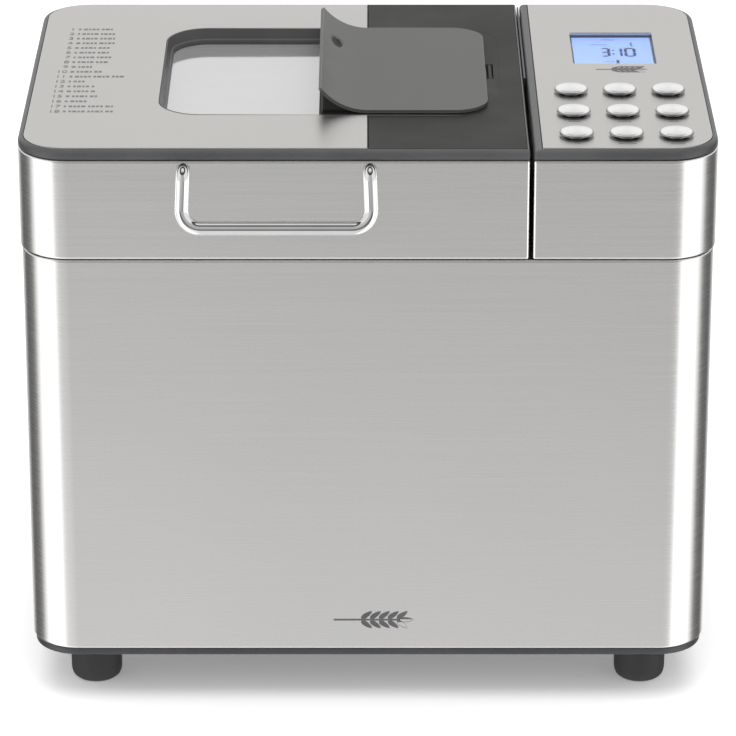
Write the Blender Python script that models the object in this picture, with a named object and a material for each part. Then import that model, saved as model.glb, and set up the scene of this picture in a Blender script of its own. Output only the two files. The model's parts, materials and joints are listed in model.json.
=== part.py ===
"""Bread machine: a steel-clad oven with a hinged lid, an ingredient dispenser, a control
housing, a lift-out bread pan and the belt drive that turns its kneading paddle.

Frame: +X right, +Y back, +Z up, in metres. The origin is the middle of the whole box on the
surface that the feet stand on. The handle and the control panel face the front, -Y.
"""

import math
from dataclasses import dataclass

import bmesh
import bpy
from mathutils import Matrix, Vector

# Driving dimensions of the housing
WIDTH = 0.360
DEPTH = 0.250
HANDLE_REACH = 0.0165
HINGE_REACH = 0.0105
CORNER = 0.026
EDGE = 0.0015
FRONT_Y = -(DEPTH + HINGE_REACH - HANDLE_REACH) / 2
REAR_Y = FRONT_Y + DEPTH
LEFT_X = -WIDTH / 2
RIGHT_X = WIDTH / 2
SPLIT_X = 0.0836  # middle of the slot between the lid and the control housing
SPLIT = 0.002
GAP = 0.0003
SHEET = 0.0012  # thickness of every steel sheet

# Heights
BASE_Z = 0.026
WRAP_Z = 0.0305
DECK_Z = 0.2500  # top of the deck
WRAP_TOP_Z = 0.2510
BAND_Z = 0.2520
BAND_TOP_Z = 0.3055
TOP_Z = 0.3110
PLATE_SEAT_Z = 0.3095
PLATE_TOP_Z = 0.3114
SKIRT_Z = 0.3003
PLATE_INSET = 0.0030  # from a moulding's edge to its inlaid plate
PANE_Z = (0.3001, 0.3031)

# Oven, pan and drive axis
OVEN_X = -0.048
OVEN_Y = FRONT_Y + DEPTH / 2
OVEN_HALF = (0.118, 0.090)
OVEN_Z = 0.066
PAN_HALF = (0.098, 0.061)
PAN_Z = 0.085
PAN_TOP_Z = 0.222
BAIL_Z = 0.212
BAIL_REACH = 0.068
MOTOR_X = 0.124
SHAFT_R = 0.004
MOTOR_SHAFT_R = 0.003
BIG_PULLEY_R = 0.045
SMALL_PULLEY_R = 0.0075
FLANGE_HEIGHT = 0.0015
BELT_Z = (0.036, 0.043)
BELT_THICK = 0.002

# Lid hinge, window and dispenser
HINGE_Y = REAR_Y + 0.0057
HINGE_Z = 0.2515
HINGE_R = 0.0048
HINGE_PIN_R = 0.002
HINGE_X = (OVEN_X - 0.075, OVEN_X + 0.075)
OPENING = (-0.109, 0.0700, -0.0658, 0.0809)
OPENING_R = 0.022
OPENING_TAPER = 0.0028
TRAY_X = -0.0255
COVER_X = (-0.0250, 0.0627)
COVER_Y = (-0.0635, 0.0767)
COVER_THICK = 0.0018
COVER_Z = TOP_Z + GAP
COVER_LIFT = 0.0128
COVER_HINGE = (0.0650, 0.3095)
COVER_HALF = 0.0120  # of its barrel's length
DOOR_X = (-0.0170, 0.0440)
DOOR_Y = (-0.0400, 0.0550)
DOOR_Z = (0.2930, 0.2945)
DOOR_AXIS_Z = 0.2925

# Handle, controls and feet
HANDLE_X = -0.0466
HANDLE_R = 0.0036
BUTTON_X = (0.1071, 0.1327, 0.1583)
BUTTON_Y = (-0.029, -0.064, -0.099)
BUTTON_R = 0.0090
BUTTON_STEM_R = 0.0062
SCREEN = (0.1102, 0.1555, 0.0190, 0.0735)
BOARD_AREA = (0.0925, 0.1710, FRONT_Y + 0.016, REAR_Y - 0.016)
BOARD_Z = (0.2919, 0.2935)
FOOT_X = 0.1465
FOOT_INSET_Y = 0.034

CORNER_STEPS = 5
ROUND = 24

STEEL = ("brushed_steel", (0.62, 0.61, 0.59), 0.32, 1.0)
CHROME = ("chrome", (0.85, 0.85, 0.85), 0.08, 1.0)
TRIM = ("trim_plastic", (0.06, 0.06, 0.065), 0.35, 0.0)
BLACK = ("black_plastic", (0.015, 0.015, 0.015), 0.25, 0.0)
COVER = ("cover_plastic", (0.10, 0.10, 0.10), 0.45, 0.0)
RUBBER = ("rubber", (0.02, 0.02, 0.02), 0.7, 0.0)
ALUMINIUM = ("aluminium", (0.70, 0.70, 0.70), 0.40, 1.0)
NONSTICK = ("nonstick", (0.05, 0.05, 0.055), 0.40, 0.2)
CAST = ("cast_alloy", (0.50, 0.50, 0.50), 0.50, 1.0)
SHAFT_STEEL = ("shaft_steel", (0.55, 0.55, 0.55), 0.25, 1.0)
BOARD = ("circuit_board", (0.03, 0.16, 0.07), 0.50, 0.0)
GLASS = ("window_glass", (0.80, 0.84, 0.85), 0.05, 0.0)
SCREEN_BLUE = ("screen", (0.22, 0.36, 0.95), 0.20, 0.0)
SILICONE = ("silicone", (0.55, 0.55, 0.52), 0.60, 0.0)
HEATER = ("heater_sheath", (0.20, 0.19, 0.18), 0.45, 1.0)


@dataclass(frozen=True)
class Outline:
    """A rectangle seen from above. Its corner radii run front left, front right, rear right, rear left."""

    x0: float
    x1: float
    y0: float
    y1: float
    radii: tuple

    def inset(self, by):
        """The same rectangle with its edge moved inwards, or outwards where by is negative."""
        radii = tuple(max(r - by, 0.0006) for r in self.radii)
        return Outline(self.x0 + by, self.x1 - by, self.y0 + by, self.y1 - by, radii)

    def points(self):
        """Anticlockwise points, with the same number of them for every rectangle."""
        fl, fr, rr, rl = self.radii
        centres = (
            (self.x0 + fl, self.y0 + fl, fl, 180),
            (self.x1 - fr, self.y0 + fr, fr, 270),
            (self.x1 - rr, self.y1 - rr, rr, 0),
            (self.x0 + rl, self.y1 - rl, rl, 90),
        )
        made = []
        for x, y, r, start in centres:
            for step in range(CORNER_STEPS + 1):
                a = math.radians(start + 90 * step / CORNER_STEPS)
                made.append((x + r * math.cos(a), y + r * math.sin(a)))
        return made


def even(x0, x1, y0, y1, r):
    """A rectangle with four equal corners."""
    return Outline(x0, x1, y0, y1, (r, r, r, r))


LID = Outline(LEFT_X, SPLIT_X - SPLIT / 2, FRONT_Y, REAR_Y, (CORNER, EDGE, EDGE, CORNER))
CONTROL = Outline(SPLIT_X + SPLIT / 2, RIGHT_X, FRONT_Y, REAR_Y, (EDGE, CORNER, CORNER, EDGE))
BODY = even(LEFT_X, RIGHT_X, FRONT_Y, REAR_Y, CORNER).inset(0.0008)
OVEN = even(
    OVEN_X - OVEN_HALF[0], OVEN_X + OVEN_HALF[0], OVEN_Y - OVEN_HALF[1], OVEN_Y + OVEN_HALF[1], 0.020
)
PAN = even(OVEN_X - PAN_HALF[0], OVEN_X + PAN_HALF[0], OVEN_Y - PAN_HALF[1], OVEN_Y + PAN_HALF[1], 0.018)
WINDOW = even(*OPENING, OPENING_R)
# The opening where its sides have sloped in as far as they go, except at its right end
LEDGE = even(
    OPENING[0] + OPENING_TAPER,
    OPENING[1],
    OPENING[2] + OPENING_TAPER,
    OPENING[3] - OPENING_TAPER,
    OPENING_R - OPENING_TAPER,
)


def tray_outline(opening):
    """The dispenser box's edge where it fills the opening's right part."""
    r = opening.radii[1] - GAP
    return Outline(TRAY_X, opening.x1 - GAP, opening.y0 + GAP, opening.y1 - GAP, (0.0015, r, r, 0.0015))


TRAY = tray_outline(WINDOW)
TRAY_LOW = tray_outline(LEDGE)
TRAY_LIP = Outline(
    TRAY_X + 0.0015, COVER_X[1] - 0.001, COVER_Y[0] + 0.0012, COVER_Y[1] - 0.0012, (0.0015, 0.017, 0.017, 0.0015)
)
TRAY_WAIST = Outline(TRAY_X + 0.0034, 0.0636, -0.0604, 0.0755, (0.0010, 0.0166, 0.0166, 0.0010))
RECESS = OVEN.inset(0.003)
# How far a moulding's rounded rim has drawn in at each height
RIM = ((0.0, BAND_TOP_Z + GAP), (0.0, 0.3085), (0.0004, 0.3099), (0.0011, 0.3107), (0.0021, TOP_Z))


def material(spec):
    """The Principled material of that name, made once."""
    name, colour, roughness, metallic = spec
    found = bpy.data.materials.get(name)
    if found:
        return found
    made = bpy.data.materials.new(name)
    made.use_nodes = True
    shader = made.node_tree.nodes["Principled BSDF"]
    shader.inputs["Base Color"].default_value = (*colour, 1.0)
    shader.inputs["Roughness"].default_value = roughness
    shader.inputs["Metallic"].default_value = metallic
    return made


def link(name, data, spec):
    """An object of this data in the scene, with its material."""
    obj = bpy.data.objects.new(name, data)
    if spec:
        data.materials.append(material(spec))
    bpy.context.scene.collection.objects.link(obj)
    return obj


def solid(name, bm, spec):
    """An object from a closed bmesh, with its faces pointing out and its round sides smooth."""
    bmesh.ops.recalc_face_normals(bm, faces=bm.faces)
    mesh = bpy.data.meshes.new(name)
    bm.to_mesh(mesh)
    bm.free()
    mesh.shade_smooth()
    mesh.set_sharp_from_angle(angle=math.radians(35))
    return link(name, mesh, spec)


def ring(bm, points, z):
    return [bm.verts.new((x, y, z)) for x, y in points]


def bridge(bm, low, high):
    """Side faces between two rings of as many points."""
    count = len(low)
    for i in range(count):
        j = (i + 1) % count
        bm.faces.new((low[i], low[j], high[j], high[i]))


def loft(name, sections, spec=None):
    """A closed solid through outlines given as (outline, height), from the bottom up."""
    bm = bmesh.new()
    rings = [ring(bm, outline.points(), z) for outline, z in sections]
    for low, high in zip(rings, rings[1:]):
        bridge(bm, low, high)
    bm.faces.new(list(reversed(rings[0])))
    bm.faces.new(rings[-1])
    return solid(name, bm, spec)


def tube(name, outer, inner, z0, z1, spec=None):
    """A wall between two outlines of as many points, open at the top and the bottom."""
    bm = bmesh.new()
    loops = [ring(bm, p, z) for p, z in ((outer, z0), (outer, z1), (inner, z1), (inner, z0))]
    for first, second in zip(loops, loops[1:] + loops[:1]):
        bridge(bm, first, second)
    return solid(name, bm, spec)


def wall(name, outer, inner, z0, z1, spec=None):
    """The tube between two rounded rectangles."""
    return tube(name, outer.points(), inner.points(), z0, z1, spec)


def box(name, x, y, z, spec=None):
    """A block between two corners, given as a (low, high) pair for each axis."""
    bm = bmesh.new()
    bmesh.ops.create_cube(bm, size=1.0)
    size = [high - low for low, high in (x, y, z)]
    middle = [(high + low) / 2 for low, high in (x, y, z)]
    bmesh.ops.scale(bm, vec=size, verts=bm.verts)
    bmesh.ops.translate(bm, vec=middle, verts=bm.verts)
    return solid(name, bm, spec)


def turned(name, profile, spec=None, bored=False, steps=ROUND):
    """A solid of revolution about Z through (radius, height) points. A bored one closes on itself."""
    bm = bmesh.new()
    turns = [2 * math.pi * i / steps for i in range(steps)]
    rings = [ring(bm, [(r * math.cos(a), r * math.sin(a)) for a in turns], z) for r, z in profile]
    for first, second in zip(rings, rings[1:]):
        bridge(bm, first, second)
    if bored:
        bridge(bm, rings[-1], rings[0])
    else:
        bm.faces.new(list(reversed(rings[0])))
        bm.faces.new(rings[-1])
    return solid(name, bm, spec)


def rod(name, radius, start, end, spec=None, steps=16):
    """A straight round bar between two points."""
    start, end = Vector(start), Vector(end)
    made = turned(name, ((radius, 0.0), (radius, (end - start).length)), spec, steps=steps)
    turn = (end - start).to_track_quat("Z", "Y").to_matrix().to_4x4()
    made.data.transform(Matrix.Translation(start) @ turn)
    return made


def slab_along_y(name, profile, y0, y1, spec=None):
    """A shape drawn in X and Z and given a length along Y."""
    bm = bmesh.new()
    near = [bm.verts.new((x, y0, z)) for x, z in profile]
    far = [bm.verts.new((x, y1, z)) for x, z in profile]
    bridge(bm, near, far)
    bm.faces.new(near)
    bm.faces.new(list(reversed(far)))
    return solid(name, bm, spec)


def filleted(points, radii, steps=4):
    """The polyline with each inner corner turned into an arc, of one radius or of one for each corner."""
    made = [Vector(points[0])]
    if isinstance(radii, float):
        radii = (radii,) * (len(points) - 2)
    for radius, before, corner, after in zip(radii, points, points[1:], points[2:]):
        corner = Vector(corner)
        back = (Vector(before) - corner).normalized()
        on = (Vector(after) - corner).normalized()
        half = back.angle(on) / 2
        centre = corner + (back + on).normalized() * (radius / math.sin(half))
        reach = radius / math.tan(half)
        first = (corner + back * reach - centre).normalized()
        last = (corner + on * reach - centre).normalized()
        made += [centre + first.slerp(last, i / steps) * radius for i in range(steps + 1)]
    return made + [Vector(points[-1])]


def bent_rod(name, points, radius, bend, spec):
    """A round rod that follows a polyline with rounded corners."""
    route = filleted(points, bend)
    curve = bpy.data.curves.new(name, "CURVE")
    curve.dimensions = "3D"
    curve.bevel_depth = radius
    curve.bevel_resolution = 3
    curve.use_fill_caps = True
    spline = curve.splines.new("POLY")
    spline.points.add(len(route) - 1)
    for point, place in zip(spline.points, route):
        point.co = (*place, 1.0)
    return link(name, curve, spec)


def combine(target, operation, tools):
    """Adds one Boolean for each tool and hides the tool."""
    for tool in tools:
        tool.hide_render = True
        tool.display_type = "WIRE"
        change = target.modifiers.new(tool.name, "BOOLEAN")
        change.operation = operation
        change.solver = "EXACT"
        change.object = tool
    return target


def cut(target, *tools):
    return combine(target, "DIFFERENCE", tools)


def unite(target, *tools):
    return combine(target, "UNION", tools)


def on_axis(name, place, *pieces):
    """An empty on a joint's axis that carries the pieces which move with the joint."""
    axis = bpy.data.objects.new(name, None)
    axis.location = place
    bpy.context.scene.collection.objects.link(axis)
    for piece in pieces:
        piece.parent = axis
        piece.matrix_parent_inverse = Matrix.Translation(-Vector(place))
    return axis


def shift(obj, x, y, z=0.0):
    """Moves a shape that was made about Z to its place."""
    obj.data.transform(Matrix.Translation((x, y, z)))
    return obj


# --- Body -----------------------------------------------------------------------------------


def outer_wrap():
    """The steel sheet round the front, the sides and the rear corners."""
    made = wall("outer_wrap", BODY, BODY.inset(SHEET), WRAP_Z, WRAP_TOP_Z, STEEL)
    opening = box("wrap_rear_opening", (-0.150, 0.150), (REAR_Y - 0.010, REAR_Y + 0.010), (0.0, 0.4))
    return cut(made, opening)


def rear_panel():
    """The painted rear sheet, with two groups of louvres."""
    face = REAR_Y - 0.0008
    made = box("rear_panel", (-0.1497, 0.1497), (face - SHEET, face), (WRAP_Z + GAP, WRAP_TOP_Z - GAP), BLACK)
    for x, first, count in ((0.095, 0.060, 6), (-0.048, 0.190, 3)):
        for i in range(count):
            z = first + 0.010 * i
            slot = box(f"louvre_{x}_{i}", (x - 0.035, x + 0.035), (face - 0.01, face + 0.01), (z, z + 0.004))
            cut(made, slot)
    return made


def base_tray():
    """The moulded floor, with an upstand inside the steel and air slots under the motor."""
    sections = (
        (BODY.inset(0.0035), BASE_Z),
        (BODY.inset(0.0012), BASE_Z + 0.0018),
        (BODY.inset(0.0012), WRAP_Z - GAP),
        (BODY.inset(0.0015), WRAP_Z - GAP),
        (BODY.inset(0.0015), 0.042),
    )
    made = loft("base_tray", sections, TRIM)
    pocket = loft("base_pocket", ((BODY.inset(0.0035), 0.029), (BODY.inset(0.0035), 0.050)))
    cut(made, pocket)
    for i in range(5):
        x = 0.098 + 0.012 * i
        cut(made, box(f"air_slot_{i}", (x, x + 0.005), (-0.030, 0.036), (0.020, 0.032)))
    return made


def feet():
    """Four rubber feet of one shape."""
    profile = ((0.0095, 0.0), (0.0126, 0.0016), (0.0137, 0.0056), (0.0137, BASE_Z - GAP))
    first = turned("foot_front_left", profile, RUBBER, steps=20)
    places = {
        "foot_front_left": (-FOOT_X, FRONT_Y + FOOT_INSET_Y),
        "foot_front_right": (FOOT_X, FRONT_Y + FOOT_INSET_Y),
        "foot_rear_left": (-FOOT_X, REAR_Y - FOOT_INSET_Y),
        "foot_rear_right": (FOOT_X, REAR_Y - FOOT_INSET_Y),
    }
    for name, (x, y) in places.items():
        foot = first if name == first.name else link(name, first.data, None)
        foot.location = (x, y, 0.0)


def top_deck():
    """The moulded frame round the oven's mouth, with the control panel's tower and a fin in the slot beside the lid."""
    made = wall("top_deck", BODY.inset(0.0015), OVEN.inset(-GAP), DECK_Z - 0.003, DECK_Z, TRIM)
    outside = CONTROL.inset(0.0023)
    unite(made, wall("deck_tower", outside, outside.inset(0.0025), DECK_Z - 0.001, SKIRT_Z - GAP))
    fin = (SPLIT_X - 0.0005, SPLIT_X + 0.0005)
    unite(made, box("slot_fin", fin, (0.0, REAR_Y - 0.0020), (DECK_Z - 0.001, 0.3095)))
    x0, x1, y0, y1 = BOARD_AREA
    for x in (x0 + 0.004, x1 - 0.004):
        for y in (y0 + 0.004, y1 - 0.004):
            across, along = (x - 0.003, x + 0.003), (y - 0.003, y + 0.003)
            unite(made, box(f"post_{x}_{y}", across, along, (DECK_Z - 0.001, BOARD_Z[0] - GAP)))
    return made


def cord_gland():
    """The bush in the rear panel that the mains lead would leave by."""
    face = REAR_Y - 0.0008
    made = rod("cord_gland", 0.008, (-0.120, face + GAP, 0.055), (-0.120, face + 0.0085, 0.055), RUBBER)
    return cut(made, rod("cord_bore", 0.004, (-0.120, face + 0.0015, 0.055), (-0.120, face + 0.02, 0.055)))


# --- Oven and drive -------------------------------------------------------------------------


def oven_chamber():
    """The deep-drawn oven box with its flange, shaft hole, heater holes and sensor hole."""
    lip = OVEN.inset(-0.005)
    sections = ((OVEN, OVEN_Z), (OVEN, DECK_Z + GAP), (lip, DECK_Z + GAP), (lip, DECK_Z + 0.0013))
    made = loft("oven_chamber", sections, ALUMINIUM)
    inside = OVEN.inset(SHEET)
    cut(made, loft("oven_inside", ((inside, OVEN_Z + SHEET), (inside, 0.300))))
    cut(made, shift(turned("floor_hole", ((0.011, 0.05), (0.011, 0.08))), OVEN_X, OVEN_Y))
    for side in (-1, 1):
        y = OVEN_Y + 0.015 * side
        cut(made, rod(f"heater_hole_{side}", 0.0042, (OVEN.x1 - 0.01, y, 0.088), (OVEN.x1 + 0.01, y, 0.088)))
    sensor = rod("sensor_hole", 0.0036, (OVEN_X, OVEN.y1 - 0.01, 0.120), (OVEN_X, OVEN.y1 + 0.01, 0.120))
    return cut(made, sensor)


def heating_element():
    """The tubular heater round the foot of the pan, with both ends out through the oven wall."""
    x0, x1, y0, y1, z = OVEN_X - 0.106, OVEN_X + 0.106, OVEN_Y - 0.075, OVEN_Y + 0.075, 0.088
    out, near, far = OVEN.x1 + 0.012, OVEN_Y - 0.015, OVEN_Y + 0.015
    route = ((out, near), (x1, near), (x1, y0), (x0, y0), (x0, y1), (x1, y1), (x1, far), (out, far))
    return bent_rod("heating_element", [(x, y, z) for x, y in route], 0.0033, 0.0095, HEATER)


def temperature_sensor():
    """The probe through the oven's rear wall, with its collar outside."""
    face = OVEN.y1
    made = rod("temperature_sensor", 0.0030, (OVEN_X, face - 0.016, 0.120), (OVEN_X, face + 0.010, 0.120), SHAFT_STEEL)
    return unite(made, rod("sensor_collar", 0.0065, (OVEN_X, face + GAP, 0.120), (OVEN_X, face + 0.003, 0.120)))


def pan_socket():
    """The cast seat on the oven floor that locates the pan."""
    low = OVEN_Z + SHEET + GAP
    profile = (
        (0.0185, low),
        (0.0400, low),
        (0.0400, low + 0.012),
        (0.0365, low + 0.012),
        (0.0365, low + 0.0015),
        (0.0185, low + 0.0015),
    )
    return shift(turned("pan_socket", profile, CAST, bored=True), OVEN_X, OVEN_Y)


def bearing_housing():
    """The flanged bearing under the oven floor that carries the main shaft."""
    bore = SHAFT_R + GAP
    top = OVEN_Z - GAP
    profile = ((bore, 0.048), (0.012, 0.048), (0.012, 0.0605), (0.024, 0.0605), (0.024, top), (bore, top))
    return shift(turned("bearing_housing", profile, CAST, bored=True), OVEN_X, OVEN_Y)


def pulley(name, radius, shaft, x, y, spec):
    """A belt pulley with two flanges, bored for its shaft."""
    low, high = BELT_Z[0] - 0.0005, BELT_Z[1] + 0.0005
    bore, flange, lip = shaft + GAP, radius + FLANGE_HEIGHT, 0.001
    below = [(bore, low - lip), (flange, low - lip), (flange, low), (radius, low)]
    above = [(radius, high), (flange, high), (flange, high + lip), (bore, high + lip)]
    return shift(turned(name, below + above, spec, bored=True), x, y)


def drive():
    """The main shaft with its large pulley below and the driving dogs above."""
    shaft = shift(turned("main_shaft", ((SHAFT_R, 0.033), (SHAFT_R, 0.0695)), SHAFT_STEEL, steps=16), OVEN_X, OVEN_Y)
    wheel = pulley("large_pulley", BIG_PULLEY_R, SHAFT_R, OVEN_X, OVEN_Y, BLACK)
    coupling = shift(turned("drive_coupling", ((0.013, 0.0698), (0.013, 0.0738)), CAST, steps=24), OVEN_X, OVEN_Y)
    for side in (-1, 1):
        near, far = sorted((OVEN_X + 0.0065 * side, OVEN_X + 0.0115 * side))
        unite(coupling, box(f"dog_{side}", (near, far), (OVEN_Y - 0.004, OVEN_Y + 0.004), (0.073, 0.079)))
    on_axis("drive_axis", (OVEN_X, OVEN_Y, 0.0), shaft, wheel, coupling)


def belt_loop(grow):
    """The closed line of a belt that stands this far off both pulleys."""
    big, small = BIG_PULLEY_R + grow, SMALL_PULLEY_R + grow
    reach = math.acos((big - small) / (MOTOR_X - OVEN_X))
    made = []
    for x, r, start, sweep, steps in (
        (OVEN_X, big, reach, 2 * math.pi - 2 * reach, 24),
        (MOTOR_X, small, -reach, 2 * reach, 10),
    ):
        for i in range(steps + 1):
            a = start + sweep * i / steps
            made.append((x + r * math.cos(a), OVEN_Y + r * math.sin(a)))
    return made


def drive_belt():
    """The flat belt from the motor to the large pulley."""
    return tube("drive_belt", belt_loop(GAP + BELT_THICK), belt_loop(GAP), *BELT_Z, RUBBER)


def motor():
    """The induction motor on its bracket: the fixed stator, and the rotor with its pulley."""
    x, y = MOTOR_X, OVEN_Y
    bracket = loft("motor_bracket", ((even(x - 0.040, x + 0.040, y - 0.036, y + 0.036, 0.006), z) for z in (0.060, 0.062)), STEEL)
    cut(bracket, shift(turned("bracket_hole", ((0.006, 0.05), (0.006, 0.07)), steps=16), x, y))
    for dx in (-0.034, 0.034):
        for dy in (-0.030, 0.030):
            unite(bracket, rod(f"leg_{dx}_{dy}", 0.004, (x + dx, y + dy, 0.0293), (x + dx, y + dy, 0.061), steps=12))
    block = even(x - 0.030, x + 0.030, y - 0.030, y + 0.030, 0.004)
    bell = block.inset(0.006)
    stator = loft("motor_stator", ((block, 0.0625), (block, 0.104), (bell, 0.104), (bell, 0.112)), CAST)
    cut(stator, shift(turned("rotor_bore", ((0.017, 0.060), (0.017, 0.105)), steps=24), x, y))
    cut(stator, shift(turned("rotor_bearing", ((0.0034, 0.100), (0.0034, 0.120)), steps=16), x, y))
    r = MOTOR_SHAFT_R
    section = ((r, 0.033), (r, 0.064), (0.016, 0.064), (0.016, 0.103), (r, 0.103), (r, 0.118))
    rotor = shift(turned("motor_rotor", section, SHAFT_STEEL, steps=24), x, y)
    wheel = pulley("motor_pulley", SMALL_PULLEY_R, r, x, y, CAST)
    on_axis("motor_axis", (x, y, 0.0), rotor, wheel)


def electrics():
    """The motor's capacitor, and the power board with its relay and transformer."""
    turned("capacitor", ((0.0155, 0.0293), (0.0155, 0.073), (0.0140, 0.0745)), ALUMINIUM, steps=20)
    bpy.data.objects["capacitor"].location = (0.125, -0.072, 0.0)
    board = box("power_board", (0.1650, 0.1666), (-0.060, 0.070), (0.120, 0.210), BOARD)
    unite(board, box("relay", (0.150, 0.1655), (-0.040, -0.015), (0.140, 0.168)))
    unite(board, box("transformer", (0.138, 0.1655), (0.015, 0.050), (0.135, 0.170)))
    unite(board, box("heat_sink", (0.152, 0.1655), (-0.005, 0.008), (0.175, 0.205)))
    inside = BODY.x1 - SHEET - GAP
    for y in (-0.056, 0.066):
        for z in (0.124, 0.206):
            unite(board, box(f"standoff_{y}_{z}", (0.166, inside), (y - 0.003, y + 0.003), (z - 0.003, z + 0.003)))


# --- Bread pan ------------------------------------------------------------------------------


def bread_pan():
    """The tapered pan with its rolled rim, handle holes, foot ring and shaft hole."""
    foot = PAN.inset(0.005)
    rim = PAN.inset(-0.003)
    sections = ((foot, PAN_Z), (PAN, PAN_TOP_Z - 0.003), (rim, PAN_TOP_Z - 0.003), (rim, PAN_TOP_Z))
    made = loft("bread_pan", sections, NONSTICK)
    base = ((0.0315, 0.0693), (0.0360, 0.0693), (0.0360, PAN_Z + 0.0005), (0.0315, PAN_Z + 0.0005))
    unite(made, shift(turned("pan_foot", base, bored=True), OVEN_X, OVEN_Y))
    cut(made, loft("pan_inside", ((foot.inset(0.0015), PAN_Z + 0.0015), (PAN.inset(0.0015), PAN_TOP_Z + 0.0005))))
    cut(made, shift(turned("pan_shaft_hole", ((0.0044, 0.08), (0.0044, 0.09)), steps=16), OVEN_X, OVEN_Y))
    reach = PAN_HALF[0] + 0.01
    cut(made, rod("bail_holes", 0.0027, (OVEN_X - reach, OVEN_Y, BAIL_Z), (OVEN_X + reach, OVEN_Y, BAIL_Z), steps=12))
    return made


def bail_handle():
    """The wire handle, folded forwards, with its ends hooked through the pan's end walls."""
    leg = PAN_HALF[0] + 0.0075
    tip = PAN_HALF[0] - 0.0035
    route = [(-tip, 0), (-leg, 0), (-leg, -BAIL_REACH), (leg, -BAIL_REACH), (leg, 0), (tip, 0)]
    points = [(OVEN_X + x, OVEN_Y + y, BAIL_Z) for x, y in route]
    made = bent_rod("bail_handle", points, 0.0023, 0.0045, CHROME)
    on_axis("bail_axis", (OVEN_X, OVEN_Y, BAIL_Z), made)


def paddle():
    """The pan's own shaft with its wing below, and the kneading paddle on top."""
    shaft = turned("paddle_shaft", ((SHAFT_R, 0.0750), (SHAFT_R, 0.1120)), SHAFT_STEEL, steps=16)
    shift(shaft, OVEN_X, OVEN_Y)
    wing = box("wing", (OVEN_X - 0.0026, OVEN_X + 0.0026), (OVEN_Y - 0.010, OVEN_Y + 0.010), (0.0745, 0.0790))
    unite(shaft, wing)
    bore = SHAFT_R + GAP
    hub = ((bore, 0.0880), (0.0095, 0.0880), (0.0080, 0.1110), (bore, 0.1110))
    blade = shift(turned("kneading_paddle", hub, NONSTICK, bored=True, steps=24), OVEN_X, OVEN_Y)
    outline = ((0.0065, 0.0885), (0.046, 0.0885), (0.044, 0.100), (0.030, 0.114), (0.016, 0.118), (0.0065, 0.110))
    fin = slab_along_y("fin", [(OVEN_X + x, z) for x, z in outline], OVEN_Y - 0.002, OVEN_Y + 0.002)
    unite(blade, fin)
    on_axis("paddle_axis", (OVEN_X, OVEN_Y, 0.0), shaft, blade)


# --- Control housing ------------------------------------------------------------------------


def rim_sections(outline):
    """A moulding that stands in a steel band and rounds over its top edge."""
    skirt = outline.inset(SHEET + GAP)
    above = [(outline.inset(by), z) for by, z in RIM]
    return [(skirt, SKIRT_Z), (skirt, RIM[0][1]), *above]


def control_housing():
    """The fixed steel band with its moulding and the steel face plate."""
    wall("control_band", CONTROL, CONTROL.inset(SHEET), BAND_Z, BAND_TOP_Z, STEEL)
    bezel = loft("control_bezel", rim_sections(CONTROL), TRIM)
    hollow = CONTROL.inset(0.004)
    r = CORNER - PLATE_INSET
    inner = CONTROL.inset(PLATE_INSET)
    seat = Outline(CONTROL.x0 + 0.0045, inner.x1, inner.y0, inner.y1, (EDGE, r, r, EDGE))
    cut(bezel, loft("control_hollow", ((hollow, 0.290), (hollow, 0.308))))
    cut(bezel, loft("control_seat", ((seat, PLATE_SEAT_Z), (seat, 0.320))))
    plate = loft("control_plate", ((seat.inset(GAP), PLATE_SEAT_Z + GAP), (seat.inset(GAP), PLATE_TOP_Z)), STEEL)
    x0, x1, y0, y1 = SCREEN
    window = box("screen_window", (x0, x1), (y0, y1), (0.290, 0.320))
    cut(bezel, window)
    cut(plate, window)
    for column, x in enumerate(BUTTON_X):
        for row, y in enumerate(BUTTON_Y):
            hole = turned(f"button_hole_{row}_{column}", ((0.0067, 0.290), (0.0067, 0.320)), steps=12)
            shift(hole, x, y)
            cut(bezel, hole)
            cut(plate, hole)


def control_inside():
    """The display with its clear lens, and the board that it and the switches sit on."""
    x0, x1, y0, y1 = SCREEN
    box("control_board", BOARD_AREA[:2], BOARD_AREA[2:], BOARD_Z, BOARD)
    across, along = (x0 + GAP, x1 - GAP), (y0 + GAP, y1 - GAP)
    box("lcd_module", across, along, (BOARD_Z[1] + GAP, 0.3088), SCREEN_BLUE)
    box("screen_lens", across, along, (0.3091, 0.3106), GLASS)


def buttons():
    """Nine round push buttons of one shape, numbered along each row from the rear."""
    cap, stem = BUTTON_R, BUTTON_STEM_R
    bottom, top = 0.3123, 0.3147
    section = (
        (stem, 0.2950),
        (stem, bottom),
        (cap - 0.0008, bottom),
        (cap, bottom + 0.0010),
        (cap - 0.0018, top),
    )
    first = turned("button_1", section, CHROME, steps=20)
    for index in range(9):
        row, column = divmod(index, 3)
        name = f"button_{index + 1}"
        button = first if index == 0 else link(name, first.data, None)
        button.location = (BUTTON_X[column], BUTTON_Y[row], 0.0)


# --- Lid ------------------------------------------------------------------------------------


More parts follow.
